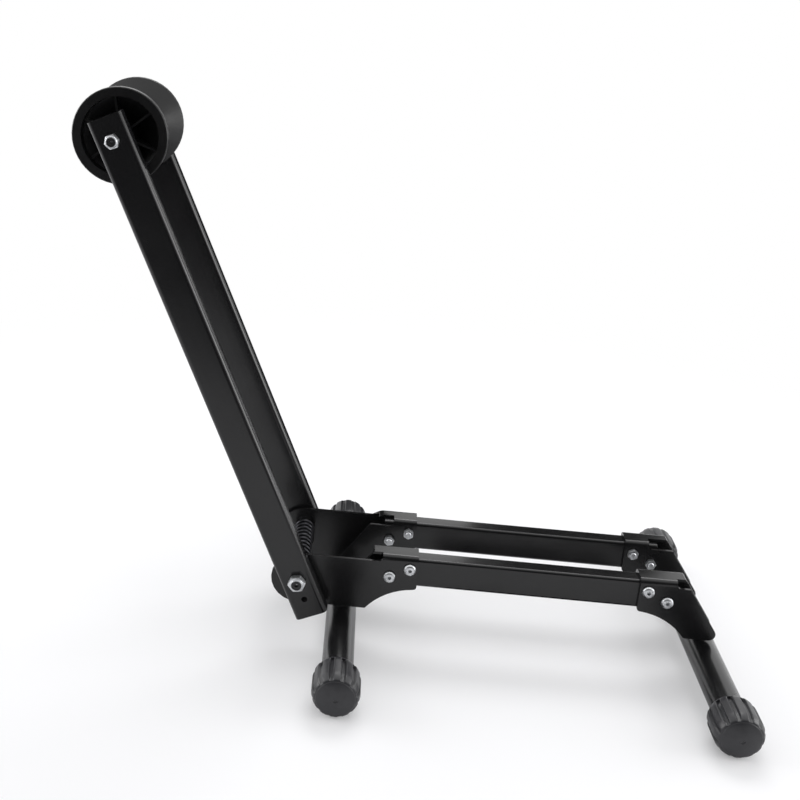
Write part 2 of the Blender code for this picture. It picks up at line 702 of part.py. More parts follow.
def least_gap(points, radius, apart):
    """The least gap of the wire to itself, between points further apart than a few steps."""
    least = math.inf
    for i, first in enumerate(points):
        for second in points[i + apart:]:
            least = min(least, (first - second).length - 2 * radius)
    return least


def build_spring(root):
    points = spring_points()
    gap = least_gap(points, WIRE_R, SPRING_POINTS_PER_TURN // 2)
    print(f"torsion spring: {spring_turns()[2] / math.tau:.1f} turns, least gap to itself {gap / MM:.2f} mm")
    curve = bpy.data.curves.new("torsion_spring", "CURVE")
    curve.dimensions = "3D"
    curve.bevel_depth = WIRE_R
    curve.bevel_resolution = 1
    curve.use_fill_caps = True
    spline = curve.splines.new("POLY")
    spline.points.add(len(points) - 1)
    for spline_point, point in zip(spline.points, points):
        spline_point.co = (*point, 1)
    wire = bpy.data.objects.new("wire", curve)
    bpy.context.scene.collection.objects.link(wire)
    bpy.context.view_layer.update()
    mesh = bpy.data.meshes.new_from_object(wire.evaluated_get(bpy.context.evaluated_depsgraph_get()))
    bpy.data.objects.remove(wire, do_unlink=True)
    mesh.shade_smooth()
    add_node("torsion_spring", mesh, SPRING_STEEL, root, (PIVOT_X, 0, PIVOT_Z))


# Roller and its axle

def groove_profile():
    """The roller's outer side from the waist to the rim, on the far half: (radius, y)."""
    points = []
    for i in range(ROLLER_GROOVE_STEPS + 1):
        t = ROLLER_GROOVE_ANGLE * i / ROLLER_GROOVE_STEPS
        points.append((ROLLER_WAIST_R + ROLLER_GROOVE_R * (1 - math.cos(t)), ROLLER_GROOVE_R * math.sin(t)))
    rim_in = ROLLER_HALF_WIDTH - ROLLER_RIM_WIDTH
    points.append((ROLLER_R - ROLLER_CHAMFER, rim_in))
    points.append((ROLLER_R, rim_in + ROLLER_CHAMFER))
    points.append((ROLLER_R, ROLLER_HALF_WIDTH - ROLLER_CHAMFER))
    points.append((ROLLER_R - ROLLER_CHAMFER, ROLLER_HALF_WIDTH))
    return points


def dish_floor(radius):
    """The y of the dish's floor, one wall thickness behind the straight flank of the groove."""
    inner_r, inner_y = groove_profile()[ROLLER_GROOVE_STEPS]
    outer_r, outer_y = groove_profile()[ROLLER_GROOVE_STEPS + 1]
    slope = (outer_y - inner_y) / (outer_r - inner_r)
    return inner_y + (radius - inner_r) * slope + ROLLER_WALL * math.hypot(1, slope)


def dish_profile():
    """The far side's face from the rim's inner edge through the dish to the boss's bore."""
    rim = ROLLER_R - ROLLER_RIM_FLAT
    return [(rim, ROLLER_HALF_WIDTH), (rim - ROLLER_CHAMFER, dish_floor(rim)),
            (ROLLER_BOSS_R, dish_floor(ROLLER_BOSS_R)), (ROLLER_BOSS_R, ROLLER_HALF_WIDTH),
            (AXLE_SLEEVE_R + GAP, ROLLER_HALF_WIDTH)]


def rib_mesh(side, angle):
    """A rib across the dish, from the boss to the rim, its foot sunk into the floor."""
    sink = ROLLER_WALL / 3
    inner, outer = ROLLER_BOSS_R - sink, ROLLER_R - ROLLER_RIM_FLAT + sink
    face = ROLLER_HALF_WIDTH - ROLLER_RIB_INSET
    outline = [(inner, side * (dish_floor(inner) - sink)), (outer, side * (dish_floor(outer) - sink)),
               (outer, side * face), (inner, side * face)]
    rib = prism("rib", outline, along_z, -ROLLER_RIB_THICKNESS / 2, ROLLER_RIB_THICKNESS / 2)
    rib.transform(Matrix.Rotation(angle, 4, "Y"))
    return rib


def build_roller(axle):
    half = groove_profile() + dish_profile()
    mirrored = [(radius, -y) for radius, y in reversed(half)]
    mesh = turned("roller", mirrored[:-1] + half, ROLLER_SIDES, closed=True)
    roller = add_node("roller", mesh, MOULDED_PLASTIC, axle)
    for side in (NEAR, FAR):
        for i in range(ROLLER_RIBS):
            combine(roller, rib_mesh(side, ROLLER_RIB_TURN + math.tau * i / ROLLER_RIBS), "UNION")


def build_axle(axle):
    build_screw("axle_screw", axle, AXLE_R, AXLE_FLATS, AXLE_HEAD_HEIGHT,
                AXLE_NUT_HEIGHT + AXLE_COLLAR_HEIGHT - GAP)
    build_lock_nut("axle_lock_nut", axle, AXLE_R, AXLE_FLATS, AXLE_NUT_HEIGHT,
                   AXLE_COLLAR_R, AXLE_COLLAR_HEIGHT)
    half = ARM_IN_Y - GAP
    add_node("axle_sleeve", turned_ring("axle_sleeve", AXLE_SLEEVE_R, AXLE_R + GAP, -half, half), ZINC, axle)
    for side in (NEAR, FAR):
        mesh = turned_ring("spacer", SPACER_R, AXLE_SLEEVE_R + GAP, half - SPACER_LENGTH, half)
        if side == NEAR:
            mesh.transform(Matrix.Rotation(math.pi, 4, "X"))
        add_node(f"{SIDE_NAMES[side]}_axle_spacer", mesh, NYLON, axle)


# Looks: colour, roughness and metallic of each kind of surface
POWDER_COAT = ((0.012, 0.012, 0.013), 0.32, 0.0)
RUBBER = ((0.018, 0.018, 0.019), 0.68, 0.0)
ZINC = ((0.72, 0.73, 0.75), 0.3, 1.0)
SPRING_STEEL = ((0.06, 0.06, 0.065), 0.35, 1.0)
MOULDED_PLASTIC = ((0.015, 0.015, 0.016), 0.42, 0.0)
NYLON = ((0.02, 0.02, 0.021), 0.5, 0.0)


def build_base(root):
    build_foot_caps(root)
    for end in (LEFT, RIGHT):
        build_cross_tube(root, end)
        for side in (NEAR, FAR):
            build_bracket(root, side, end)
    for side in (NEAR, FAR):
        build_rail(root, side)
    build_rail_fasteners(root)
    build_spring(root)


def build_swing_arm(root):
    pivot = add_empty("arm_pivot", root, (PIVOT_X, 0, PIVOT_Z), (0, -ARM_LEAN, 0))
    axle = add_empty("roller_axle", pivot, (0, 0, ARM_AXLE_DISTANCE), (0, ARM_LEAN, 0))
    for side in (NEAR, FAR):
        build_arm(pivot, side)
    build_pivot(pivot)
    build_axle(axle)
    build_roller(axle)


def main():
    clear_scene()
    root = add_empty("stand", location=(BASE_X, 0, 0))
    build_base(root)
    build_swing_arm(root)
    bpy.context.view_layer.update()


main()
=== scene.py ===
# %% [markdown]
# # A parking stand with a sprung arm
# A tube base on four rubber caps, two rails with a slot between them, and a sprung arm that ends in a
# grooved roller. Nearly all of it is steel under black powder coat, so the lesson is about black: with
# no colour to help, rounded edges and reflections draw the shape.
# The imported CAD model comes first. It is the frame that every piece is placed by.

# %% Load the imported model
import json
import math

import bpy
from mathutils import Matrix, Vector

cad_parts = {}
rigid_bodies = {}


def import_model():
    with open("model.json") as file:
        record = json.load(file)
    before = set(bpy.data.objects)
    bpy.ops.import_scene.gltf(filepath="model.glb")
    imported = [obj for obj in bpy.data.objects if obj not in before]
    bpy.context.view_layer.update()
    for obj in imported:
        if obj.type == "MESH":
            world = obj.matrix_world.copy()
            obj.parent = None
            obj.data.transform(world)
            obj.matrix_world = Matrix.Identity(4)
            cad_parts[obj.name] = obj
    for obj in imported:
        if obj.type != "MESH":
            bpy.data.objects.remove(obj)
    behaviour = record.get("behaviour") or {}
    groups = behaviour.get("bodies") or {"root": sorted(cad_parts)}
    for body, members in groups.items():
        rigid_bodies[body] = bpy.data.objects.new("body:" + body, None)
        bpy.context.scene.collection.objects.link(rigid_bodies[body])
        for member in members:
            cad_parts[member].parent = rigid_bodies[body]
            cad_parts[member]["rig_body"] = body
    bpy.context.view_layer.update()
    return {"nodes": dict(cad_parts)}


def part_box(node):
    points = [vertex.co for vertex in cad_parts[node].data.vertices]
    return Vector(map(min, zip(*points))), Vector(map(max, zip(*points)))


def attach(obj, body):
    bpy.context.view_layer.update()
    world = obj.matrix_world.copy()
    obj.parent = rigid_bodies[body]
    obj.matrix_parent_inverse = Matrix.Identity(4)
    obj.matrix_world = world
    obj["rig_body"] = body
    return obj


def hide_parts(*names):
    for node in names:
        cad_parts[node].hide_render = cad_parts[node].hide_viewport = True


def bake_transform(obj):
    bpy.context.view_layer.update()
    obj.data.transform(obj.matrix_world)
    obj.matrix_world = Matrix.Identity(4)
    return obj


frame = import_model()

MM = 0.001
nodes = frame["nodes"]

# %% [markdown]
# ## The camera
# A photograph's camera can be guessed by eye or solved from points whose real place is known. Here it
# was solved, from corners, screws and cap centres, to about one pixel. A focal length in pixels becomes
# a lens in millimetres when it is divided by the picture's width and multiplied by the sensor's.
# The solved centre isn't the picture's own, as in a picture that was cropped, so the lens is shifted.

# %% Camera
FRAME_PX = 800
FOCAL_PX = 1158.72
CENTRE_PX = (285.12, 329.35)
SENSOR_MM = 36
CAMERA_PLACE = Vector((-52.23, -893.23, 552.85)) * MM
YAW, PITCH, ROLL = -0.0622, 0.3190, -0.0620


def add_camera():
    forward = Vector((math.sin(YAW) * math.cos(PITCH), math.cos(YAW) * math.cos(PITCH), -math.sin(PITCH)))
    right = Vector((math.cos(YAW), -math.sin(YAW), 0))
    down = forward.cross(right)
    across = right * math.cos(ROLL) + down * math.sin(ROLL)
    below = down * math.cos(ROLL) - right * math.sin(ROLL)
    bpy.ops.object.camera_add()
    camera = bpy.context.object
    turn = Matrix((across, -below, -forward)).transposed()
    camera.matrix_world = Matrix.Translation(CAMERA_PLACE) @ turn.to_4x4()
    camera.data.sensor_fit = "HORIZONTAL"
    camera.data.sensor_width = SENSOR_MM
    camera.data.lens = FOCAL_PX / FRAME_PX * SENSOR_MM
    camera.data.shift_x = 0.5 - CENTRE_PX[0] / FRAME_PX
    camera.data.shift_y = CENTRE_PX[1] / FRAME_PX - 0.5
    camera.data.clip_start = 10 * MM
    bpy.context.scene.camera = camera
    return camera


camera = add_camera()
bpy.context.scene.view_settings.view_transform = "Standard"
print("lens in mm", round(camera.data.lens, 2))

# %% [markdown]
# ## Two helpers for materials
# Colours are picked from a screen as hex values, which are bent by the screen's own curve. The shader
# needs linear ones, so one function straightens them. A second one adds any node with its settings,
# values and links, which keeps each material down to a few lines that can be read. Sockets that share a
# name, such as the two inputs of a Math node, are given by number. A Mix node has a pair of inputs for
# every kind of data: MIX_A and MIX_B are its colour pair, and MIX_OUT is the colour that comes out.

# %% Colour and node helpers
MIX_A, MIX_B, MIX_OUT = 6, 7, 2


def colour(hex_value):
    """A screen colour such as "#1a2b3c" as the linear colour that a shader needs."""
    parts = [int(hex_value[i:i + 2], 16) / 255 for i in (1, 3, 5)]
    return (*[p / 12.92 if p <= 0.04045 else ((p + 0.055) / 1.055) ** 2.4 for p in parts], 1)


def add_node(tree, kind, settings=None, values=None, links=None):
    """Add a node with its settings, the values of its sockets and the links into them."""
    node = tree.nodes.new(kind)
    for name, setting in (settings or {}).items():
        setattr(node, name, setting)
    for name, value in (values or {}).items():
        node.inputs[name].default_value = value
    for name, socket in (links or {}).items():
        tree.links.new(socket, node.inputs[name])
    return node


print("white in linear", colour("#ffffff"))

# %% [markdown]
# ## The studio
# The photograph shows the stand on white, under soft light. Black gloss paint shows hardly any light of
# its own: what is seen on it is the room. The room here is white at the sides, behind and above, and
# dark in front, where the camera stands, and that dark side is why the faces that look at the camera
# stay black. A dome of soft light would make every side the same grey, so reflections get the room and
# everything else gets the dome. The camera itself sees plain white, by Light Path.

# %% World
ROOM_WHITE, ROOM_DARK = 1.3, 0.02
DARK_UP_TO, WHITE_FROM = -0.80, -0.10
DOME = 0.76


def light_room(world):
    world.use_nodes = True
    tree = world.node_tree
    tree.nodes.clear()
    path = add_node(tree, "ShaderNodeLightPath")
    place = add_node(tree, "ShaderNodeTexCoord")
    axes = add_node(tree, "ShaderNodeSeparateXYZ", links={"Vector": place.outputs["Generated"]})
    level = add_node(tree, "ShaderNodeMapRange", {"interpolation_type": "SMOOTHSTEP"},
                     {"From Min": DARK_UP_TO, "From Max": WHITE_FROM,
                      "To Min": ROOM_DARK, "To Max": ROOM_WHITE},
                     {"Value": axes.outputs["Y"]})
    white = colour("#ffffff")
    dome = add_node(tree, "ShaderNodeBackground", values={"Color": white, "Strength": DOME})
    room = add_node(tree, "ShaderNodeBackground", values={"Color": white},
                    links={"Strength": level.outputs["Result"]})
    paper = add_node(tree, "ShaderNodeBackground", values={"Color": white, "Strength": 1})
    reflected = add_node(tree, "ShaderNodeMixShader", links={
        0: path.outputs["Is Glossy Ray"], 1: dome.outputs["Background"], 2: room.outputs["Background"]})
    through = add_node(tree, "ShaderNodeMath", {"operation": "MAXIMUM"}, links={
        0: path.outputs["Is Camera Ray"], 1: path.outputs["Is Transmission Ray"]})
    seen = add_node(tree, "ShaderNodeMixShader", links={
        0: through.outputs["Value"], 1: reflected.outputs["Shader"], 2: paper.outputs["Background"]})
    add_node(tree, "ShaderNodeOutputWorld", links={"Surface": seen.outputs["Shader"]})


if bpy.context.scene.world is None:
    bpy.context.scene.world = bpy.data.worlds.new("studio")
light_room(bpy.context.scene.world)
print("world nodes", len(bpy.context.scene.world.node_tree.nodes))

# %% [markdown]
# ## The lamps
# Large lamps give soft shadows and no hard glints. One hangs behind the stand, so that the rails' shadows
# fall forwards as soft bands between the two feet. The two at the sides stand low: a round edge that
# looks sideways reflects them, and that draws the bright line on each corner of the arms and tubes.

# %% Lamps
LAMP_TARGET = Vector((0, 0, 0.15))
# Place and size in metres, then watts.
LAMPS = {
    "back_softbox": ((0.25, 1.15, 1.75), (1.3, 0.7), 11.0),
    "left_softbox": ((-1.5, 0.05, 0.55), (1.0, 0.8), 8.0),
    "right_softbox": ((1.5, 0.05, 0.55), (1.0, 0.8), 8.8),
}


def add_lamp(name, place, size, watts):
    """A rectangular lamp that looks at the stand."""
    bpy.ops.object.light_add(type="AREA", location=place)
    lamp = bpy.context.object
    lamp.name = name
    lamp.data.shape = "RECTANGLE"
    lamp.data.size, lamp.data.size_y = size
    lamp.data.energy = watts
    lamp.rotation_euler = (LAMP_TARGET - Vector(place)).to_track_quat("-Z", "Y").to_euler()


for lamp_name, (lamp_place, lamp_size, lamp_watts) in LAMPS.items():
    add_lamp(lamp_name, lamp_place, lamp_size, lamp_watts)
print("lamps", len(LAMPS))

# %% [markdown]
# ## Black cards
# In a studio, black cards are set round a glossy black thing, so that its flat sides reflect something
# dark and only its edges shine. There are three here. A leaning one behind the stand is for the arms'
# sides, an upright one beside it for the tops of the rails, and a small one on the floor by the near
# rail for the front of the far rail. They are there for reflections only: they throw no shadow and the
# camera never sees them.

# %% Cards
# Place and size in metres, then how far the card is tipped up and how far it leans, in degrees.
CARDS = {
    "arm_card": ((-0.095, 0.25, 0.25), (0.115, 0.56), 90, 24),
    "rail_card": ((0.195, 0.25, 0.285), (0.21, 0.33), 90, 0),
    "floor_card": ((0.13, -0.07, 0.001), (0.17, 0.08), 0, 0),
}


def add_card(name, place, size, upright, lean, black):
    bpy.ops.mesh.primitive_plane_add(size=1, location=place,
                                     rotation=(math.radians(upright), -math.radians(lean), 0))
    card = bpy.context.object
    card.name = name
    card.scale = (*size, 1)
    bpy.ops.object.transform_apply(location=True, rotation=True, scale=True)
    card.visible_camera = card.visible_diffuse = card.visible_transmission = card.visible_shadow = False
    card.data.materials.append(black)
    return card


def make_black_card():
    black = bpy.data.materials.new("black_card")
    black.use_nodes = True
    black.node_tree.nodes.clear()
    matt = add_node(black.node_tree, "ShaderNodeBsdfDiffuse", values={"Color": colour("#0c0c0c")})
    add_node(black.node_tree, "ShaderNodeOutputMaterial", links={"Surface": matt.outputs["BSDF"]})
    return black


bpy.ops.object.select_all(action="DESELECT")
black_card = make_black_card()
cards = [add_card(name, *sizes, black_card) for name, sizes in CARDS.items()]
print([card.name for card in cards])

# %% [markdown]
# ## The floor
# White paper, a little below pure white near the stand so that shadows show on it. Further out it runs
# into plain white, and that is done in the material with the distance from the stand. A fifth of that
# white is there everywhere, because the photograph's shadows are pale even under the caps. In
# reflections the paper carries a painted shade in front of the stand, which makes it a little darker
# there, and it ends a step further out: past it there is the dark room.

# %% Floor
# In metres: PAPER_END and FRONT_STEP along Y, FADE_FROM and FADE_TO outwards from the origin.
FLOOR_SIZE = 8
PAPER_END = (-1.0, -0.42)
# The second value here is a painted shade: how far the paper in front of the stand is mixed towards dark
# grey in reflections.
FRONT_STEP, FRONT_PAINTED_SHADE = (-0.12, 0.0), 0.20
FADE_FROM, FADE_TO, FADE_START = 0.33, 0.90, 0.2


def make_floor():
    bpy.ops.mesh.primitive_plane_add(size=FLOOR_SIZE, location=(0, 0, 0))
    floor = bpy.context.object
    floor.name = "floor"
    paper = bpy.data.materials.new("white_paper_floor")
    paper.use_nodes = True
    tree = paper.node_tree
    tree.nodes.clear()
    path = add_node(tree, "ShaderNodeLightPath")
    place = add_node(tree, "ShaderNodeTexCoord")
    axes = add_node(tree, "ShaderNodeSeparateXYZ", links={"Vector": place.outputs["Object"]})
    reach = add_node(tree, "ShaderNodeMapRange", {"interpolation_type": "SMOOTHSTEP"},
                     {"From Min": PAPER_END[0], "From Max": PAPER_END[1], "To Min": 1, "To Max": 0},
                     {"Value": axes.outputs["Y"]})
    # Painted shade in reflections: in front of the stand the paper is mixed towards dark grey for glossy
    # rays.
    painted_front_shade = add_node(tree, "ShaderNodeMapRange", {"interpolation_type": "SMOOTHSTEP"},
                     {"From Min": FRONT_STEP[0], "From Max": FRONT_STEP[1],
                      "To Min": FRONT_PAINTED_SHADE, "To Max": 0},
                     {"Value": axes.outputs["Y"]})
    darker = add_node(tree, "ShaderNodeMath", {"operation": "MAXIMUM"}, links={
        0: reach.outputs["Result"], 1: painted_front_shade.outputs["Result"]})
    hidden = add_node(tree, "ShaderNodeMath", {"operation": "MULTIPLY"}, links={
        0: darker.outputs["Value"], 1: path.outputs["Is Glossy Ray"]})
    tint = add_node(tree, "ShaderNodeMix", {"data_type": "RGBA"},
                    {MIX_A: colour("#f6f6f8"), MIX_B: colour("#3c3c3e")}, {0: hidden.outputs["Value"]})
    matt = add_node(tree, "ShaderNodeBsdfDiffuse", links={"Color": tint.outputs[MIX_OUT]})
    white = add_node(tree, "ShaderNodeEmission", values={"Color": colour("#ffffff"), "Strength": 1})
    away = add_node(tree, "ShaderNodeVectorMath", {"operation": "LENGTH"},
                    links={"Vector": place.outputs["Object"]})
    fade = add_node(tree, "ShaderNodeMapRange", {"interpolation_type": "SMOOTHSTEP"},
                    {"From Min": FADE_FROM, "From Max": FADE_TO, "To Min": FADE_START},
                    {"Value": away.outputs["Value"]})
    seen = add_node(tree, "ShaderNodeMath", {"operation": "MULTIPLY"}, links={
        0: fade.outputs["Result"], 1: path.outputs["Is Camera Ray"]})
    surface = add_node(tree, "ShaderNodeMixShader", links={
        0: seen.outputs["Value"], 1: matt.outputs["BSDF"], 2: white.outputs["Emission"]})
    add_node(tree, "ShaderNodeOutputMaterial", links={"Surface": surface.outputs["Shader"]})
    floor.data.materials.append(paper)
    return floor


floor = make_floor()
print("floor", tuple(floor.dimensions))

# %% [markdown]
# ## How a finish is made
# Every finish here is a Principled shader with a few noise patterns on Object coordinates. Those are in
# metres and don't move when a piece does, so a grain of 1 mm is a noise scale of 1000. Nearly all the
# values of a noise lie between 0.3 and 0.7, so a Map Range stretches that middle to the range wanted.
# Values that are the same all over sit on the shader's own sockets, where an exporter finds them.

# %% Finish helpers
def grain(millimetres):
    """The noise scale that gives grains of this size on Object coordinates."""
    return 1 / (millimetres * MM)


def stretched(low, high):
    """Map Range values that stretch the middle of a noise to a range."""
    return {"From Min": 0.3, "From Max": 0.7, "To Min": low, "To Max": high}


def start_finish(name):
    """A new empty material: returns it with its tree and its Object coordinates."""
    finish = bpy.data.materials.new(name)
    finish.use_nodes = True
    tree = finish.node_tree
    tree.nodes.clear()
    return finish, tree, add_node(tree, "ShaderNodeTexCoord").outputs["Object"]


print("a 1 mm grain is a scale of", grain(1))

# %% [markdown]
# ## Black powder coat
# The steel is sprayed with dry powder that melts in an oven. It levels out to a satin gloss that is
# never quite flat: painters call the faint ripple orange peel. The peel is about 1.6 mm across and a few
# hundredths of a millimetre high, so it only breaks up the reflections. A wide cloud of roughness stands
# for where hands and packing have dulled it.

# %% Powder coat
def make_powder_coat():
    finish, tree, place = start_finish("powder_coat_satin_black")
    speck = add_node(tree, "ShaderNodeTexNoise", values={"Scale": grain(0.5), "Detail": 3},
                     links={"Vector": place})
    tint = add_node(tree, "ShaderNodeMix", {"data_type": "RGBA"},
                    {MIX_A: colour("#0f0f10"), MIX_B: colour("#171718")}, {0: speck.outputs["Fac"]})
    cloud = add_node(tree, "ShaderNodeTexNoise",
                     values={"Scale": grain(45), "Detail": 4, "Roughness": 0.6},
                     links={"Vector": place})
    dulled = add_node(tree, "ShaderNodeMapRange", values=stretched(0.19, 0.28),
                      links={"Value": cloud.outputs["Fac"]})
    peel = add_node(tree, "ShaderNodeTexNoise", values={"Scale": grain(1.6), "Detail": 2},
                    links={"Vector": place})
    bump = add_node(tree, "ShaderNodeBump", values={"Strength": 0.35, "Distance": 0.05 * MM},
                    links={"Height": peel.outputs["Fac"]})
    shader = add_node(tree, "ShaderNodeBsdfPrincipled",
                      values={"Metallic": 0, "IOR": 1.52, "Specular IOR Level": 0.5},
                      links={"Base Color": tint.outputs[MIX_OUT], "Roughness": dulled.outputs["Result"],
                             "Normal": bump.outputs["Normal"]})
    add_node(tree, "ShaderNodeOutputMaterial", links={"Surface": shader.outputs["BSDF"]})
    return finish


powder_coat = make_powder_coat()
print(powder_coat.name, len(powder_coat.node_tree.nodes))

# %% [markdown]
# ## Moulded rubber
# The foot caps are moulded in a soft black rubber. It looks grey rather than black, because its fine
# grain spreads the light, and handling leaves a paler bloom on it. The grain is 0.35 mm. The skin that
# touched the mould has a low shine, which lights the lands between the flutes.

# %% Rubber
def make_rubber():
    finish, tree, place = start_finish("moulded_rubber_matt_black")
    bloom = add_node(tree, "ShaderNodeTexNoise",
                     values={"Scale": grain(7), "Detail": 5, "Roughness": 0.65},
                     links={"Vector": place})
    blend = add_node(tree, "ShaderNodeMapRange", values=stretched(0, 1),
                     links={"Value": bloom.outputs["Fac"]})
    tint = add_node(tree, "ShaderNodeMix", {"data_type": "RGBA"},
                    {MIX_A: colour("#252528"), MIX_B: colour("#2d2d30")}, {0: blend.outputs["Result"]})
    wear = add_node(tree, "ShaderNodeTexNoise", values={"Scale": grain(9), "Detail": 4},
                    links={"Vector": place})
    shine = add_node(tree, "ShaderNodeMapRange", values=stretched(0.30, 0.42),
                     links={"Value": wear.outputs["Fac"]})
    skin = add_node(tree, "ShaderNodeTexNoise", values={"Scale": grain(0.35), "Detail": 2},
                    links={"Vector": place})
    bump = add_node(tree, "ShaderNodeBump", values={"Strength": 0.4, "Distance": 0.03 * MM},
                    links={"Height": skin.outputs["Fac"]})
    shader = add_node(tree, "ShaderNodeBsdfPrincipled",
                      values={"Metallic": 0, "IOR": 1.5, "Specular IOR Level": 0.5},
                      links={"Base Color": tint.outputs[MIX_OUT], "Roughness": shine.outputs["Result"],
                             "Normal": bump.outputs["Normal"]})
    add_node(tree, "ShaderNodeOutputMaterial", links={"Surface": shader.outputs["BSDF"]})
    return finish


rubber = make_rubber()
print(rubber.name, len(rubber.node_tree.nodes))

# %% [markdown]
# ## Bright zinc plate
# Screws, nuts and sleeves are turned or pressed steel under a thin coat of bright zinc: a metal, a
# little blue, with the fine marks of the tool still in it. The marks are drawn 0.4 mm apart, coarser
# than the real ones, so that they show at all.

# %% Zinc plate
def make_zinc():
    finish, tree, place = start_finish("zinc_plated_steel_bright")
    cloud = add_node(tree, "ShaderNodeTexNoise", values={"Scale": grain(2.5), "Detail": 4},
                     links={"Vector": place})
    blend = add_node(tree, "ShaderNodeMapRange", values=stretched(0, 1),
                     links={"Value": cloud.outputs["Fac"]})
    tint = add_node(tree, "ShaderNodeMix", {"data_type": "RGBA"},
                    {MIX_A: colour("#d9dbde"), MIX_B: colour("#eaecee")}, {0: blend.outputs["Result"]})
    wear = add_node(tree, "ShaderNodeTexNoise",
                    values={"Scale": grain(1.2), "Detail": 4, "Roughness": 0.6},
                    links={"Vector": place})
    shine = add_node(tree, "ShaderNodeMapRange", values=stretched(0.32, 0.46),
                     links={"Value": wear.outputs["Fac"]})
    marks = add_node(tree, "ShaderNodeTexNoise", values={"Scale": grain(0.4), "Detail": 2},
                     links={"Vector": place})
    bump = add_node(tree, "ShaderNodeBump", values={"Strength": 0.5, "Distance": 0.01 * MM},
                    links={"Height": marks.outputs["Fac"]})
    shader = add_node(tree, "ShaderNodeBsdfPrincipled", values={"Metallic": 1},
                      links={"Base Color": tint.outputs[MIX_OUT], "Roughness": shine.outputs["Result"],
                             "Normal": bump.outputs["Normal"]})
    add_node(tree, "ShaderNodeOutputMaterial", links={"Surface": shader.outputs["BSDF"]})
    return finish


zinc = make_zinc()
print(zinc.name, len(zinc.node_tree.nodes))

# %% [markdown]
# ## Oil-tempered spring steel
# Spring wire is hardened by quenching it hot in oil, which leaves a thin dark scale on it. It is still a
# metal underneath, so its dark grey reflects with bright edges. The scale is patchy, in patches of about
# three millimetres.

# %% Spring steel
def make_spring_steel():
    finish, tree, place = start_finish("spring_steel_oil_tempered")
    scale = add_node(tree, "ShaderNodeTexNoise", values={"Scale": grain(3), "Detail": 4},
                     links={"Vector": place})
    blend = add_node(tree, "ShaderNodeMapRange", values=stretched(0, 1),
                     links={"Value": scale.outputs["Fac"]})
    tint = add_node(tree, "ShaderNodeMix", {"data_type": "RGBA"},
                    {MIX_A: colour("#29292c"), MIX_B: colour("#434346")}, {0: blend.outputs["Result"]})
    oil = add_node(tree, "ShaderNodeTexNoise", values={"Scale": grain(2), "Detail": 3},
                   links={"Vector": place})
    shine = add_node(tree, "ShaderNodeMapRange", values=stretched(0.26, 0.42),
                     links={"Value": oil.outputs["Fac"]})
    pits = add_node(tree, "ShaderNodeTexNoise", values={"Scale": grain(0.5), "Detail": 2},
                    links={"Vector": place})
    bump = add_node(tree, "ShaderNodeBump", values={"Strength": 0.4, "Distance": 0.02 * MM},
                    links={"Height": pits.outputs["Fac"]})
    shader = add_node(tree, "ShaderNodeBsdfPrincipled", values={"Metallic": 1},
                      links={"Base Color": tint.outputs[MIX_OUT], "Roughness": shine.outputs["Result"],
                             "Normal": bump.outputs["Normal"]})
    add_node(tree, "ShaderNodeOutputMaterial", links={"Surface": shader.outputs["BSDF"]})
    return finish


spring_steel = make_spring_steel()
print(spring_steel.name, len(spring_steel.node_tree.nodes))

# %% [markdown]
# ## Moulded polypropylene
# The roller is moulded in black polypropylene. Its mould was spark eroded, which gives the skin a fine
# even grain of 0.4 mm and a soft shine.

# %% Roller plastic
def make_roller_plastic():
    finish, tree, place = start_finish("moulded_polypropylene_black")
    flow = add_node(tree, "ShaderNodeTexNoise", values={"Scale": grain(4), "Detail": 4},
                    links={"Vector": place})
    tint = add_node(tree, "ShaderNodeMix", {"data_type": "RGBA"},
                    {MIX_A: colour("#0e0e0f"), MIX_B: colour("#151516")}, {0: flow.outputs["Fac"]})
    wear = add_node(tree, "ShaderNodeTexNoise", values={"Scale": grain(12), "Detail": 4},
                    links={"Vector": place})
    shine = add_node(tree, "ShaderNodeMapRange", values=stretched(0.30, 0.42),
                     links={"Value": wear.outputs["Fac"]})
    spark = add_node(tree, "ShaderNodeTexNoise", values={"Scale": grain(0.4), "Detail": 2},
                     links={"Vector": place})
    bump = add_node(tree, "ShaderNodeBump", values={"Strength": 0.4, "Distance": 0.03 * MM},
                    links={"Height": spark.outputs["Fac"]})
    shader = add_node(tree, "ShaderNodeBsdfPrincipled",
                      values={"Metallic": 0, "IOR": 1.49, "Specular IOR Level": 0.5},
                      links={"Base Color": tint.outputs[MIX_OUT], "Roughness": shine.outputs["Result"],
                             "Normal": bump.outputs["Normal"]})
    add_node(tree, "ShaderNodeOutputMaterial", links={"Surface": shader.outputs["BSDF"]})
    return finish


roller_plastic = make_roller_plastic()
print(roller_plastic.name, len(roller_plastic.node_tree.nodes))

# %% [markdown]
# ## Moulded nylon
# The spacers beside the roller and the rings inside the lock nuts are nylon: a little duller than the
# roller, and slightly lighter. Its faint grain is half a millimetre.

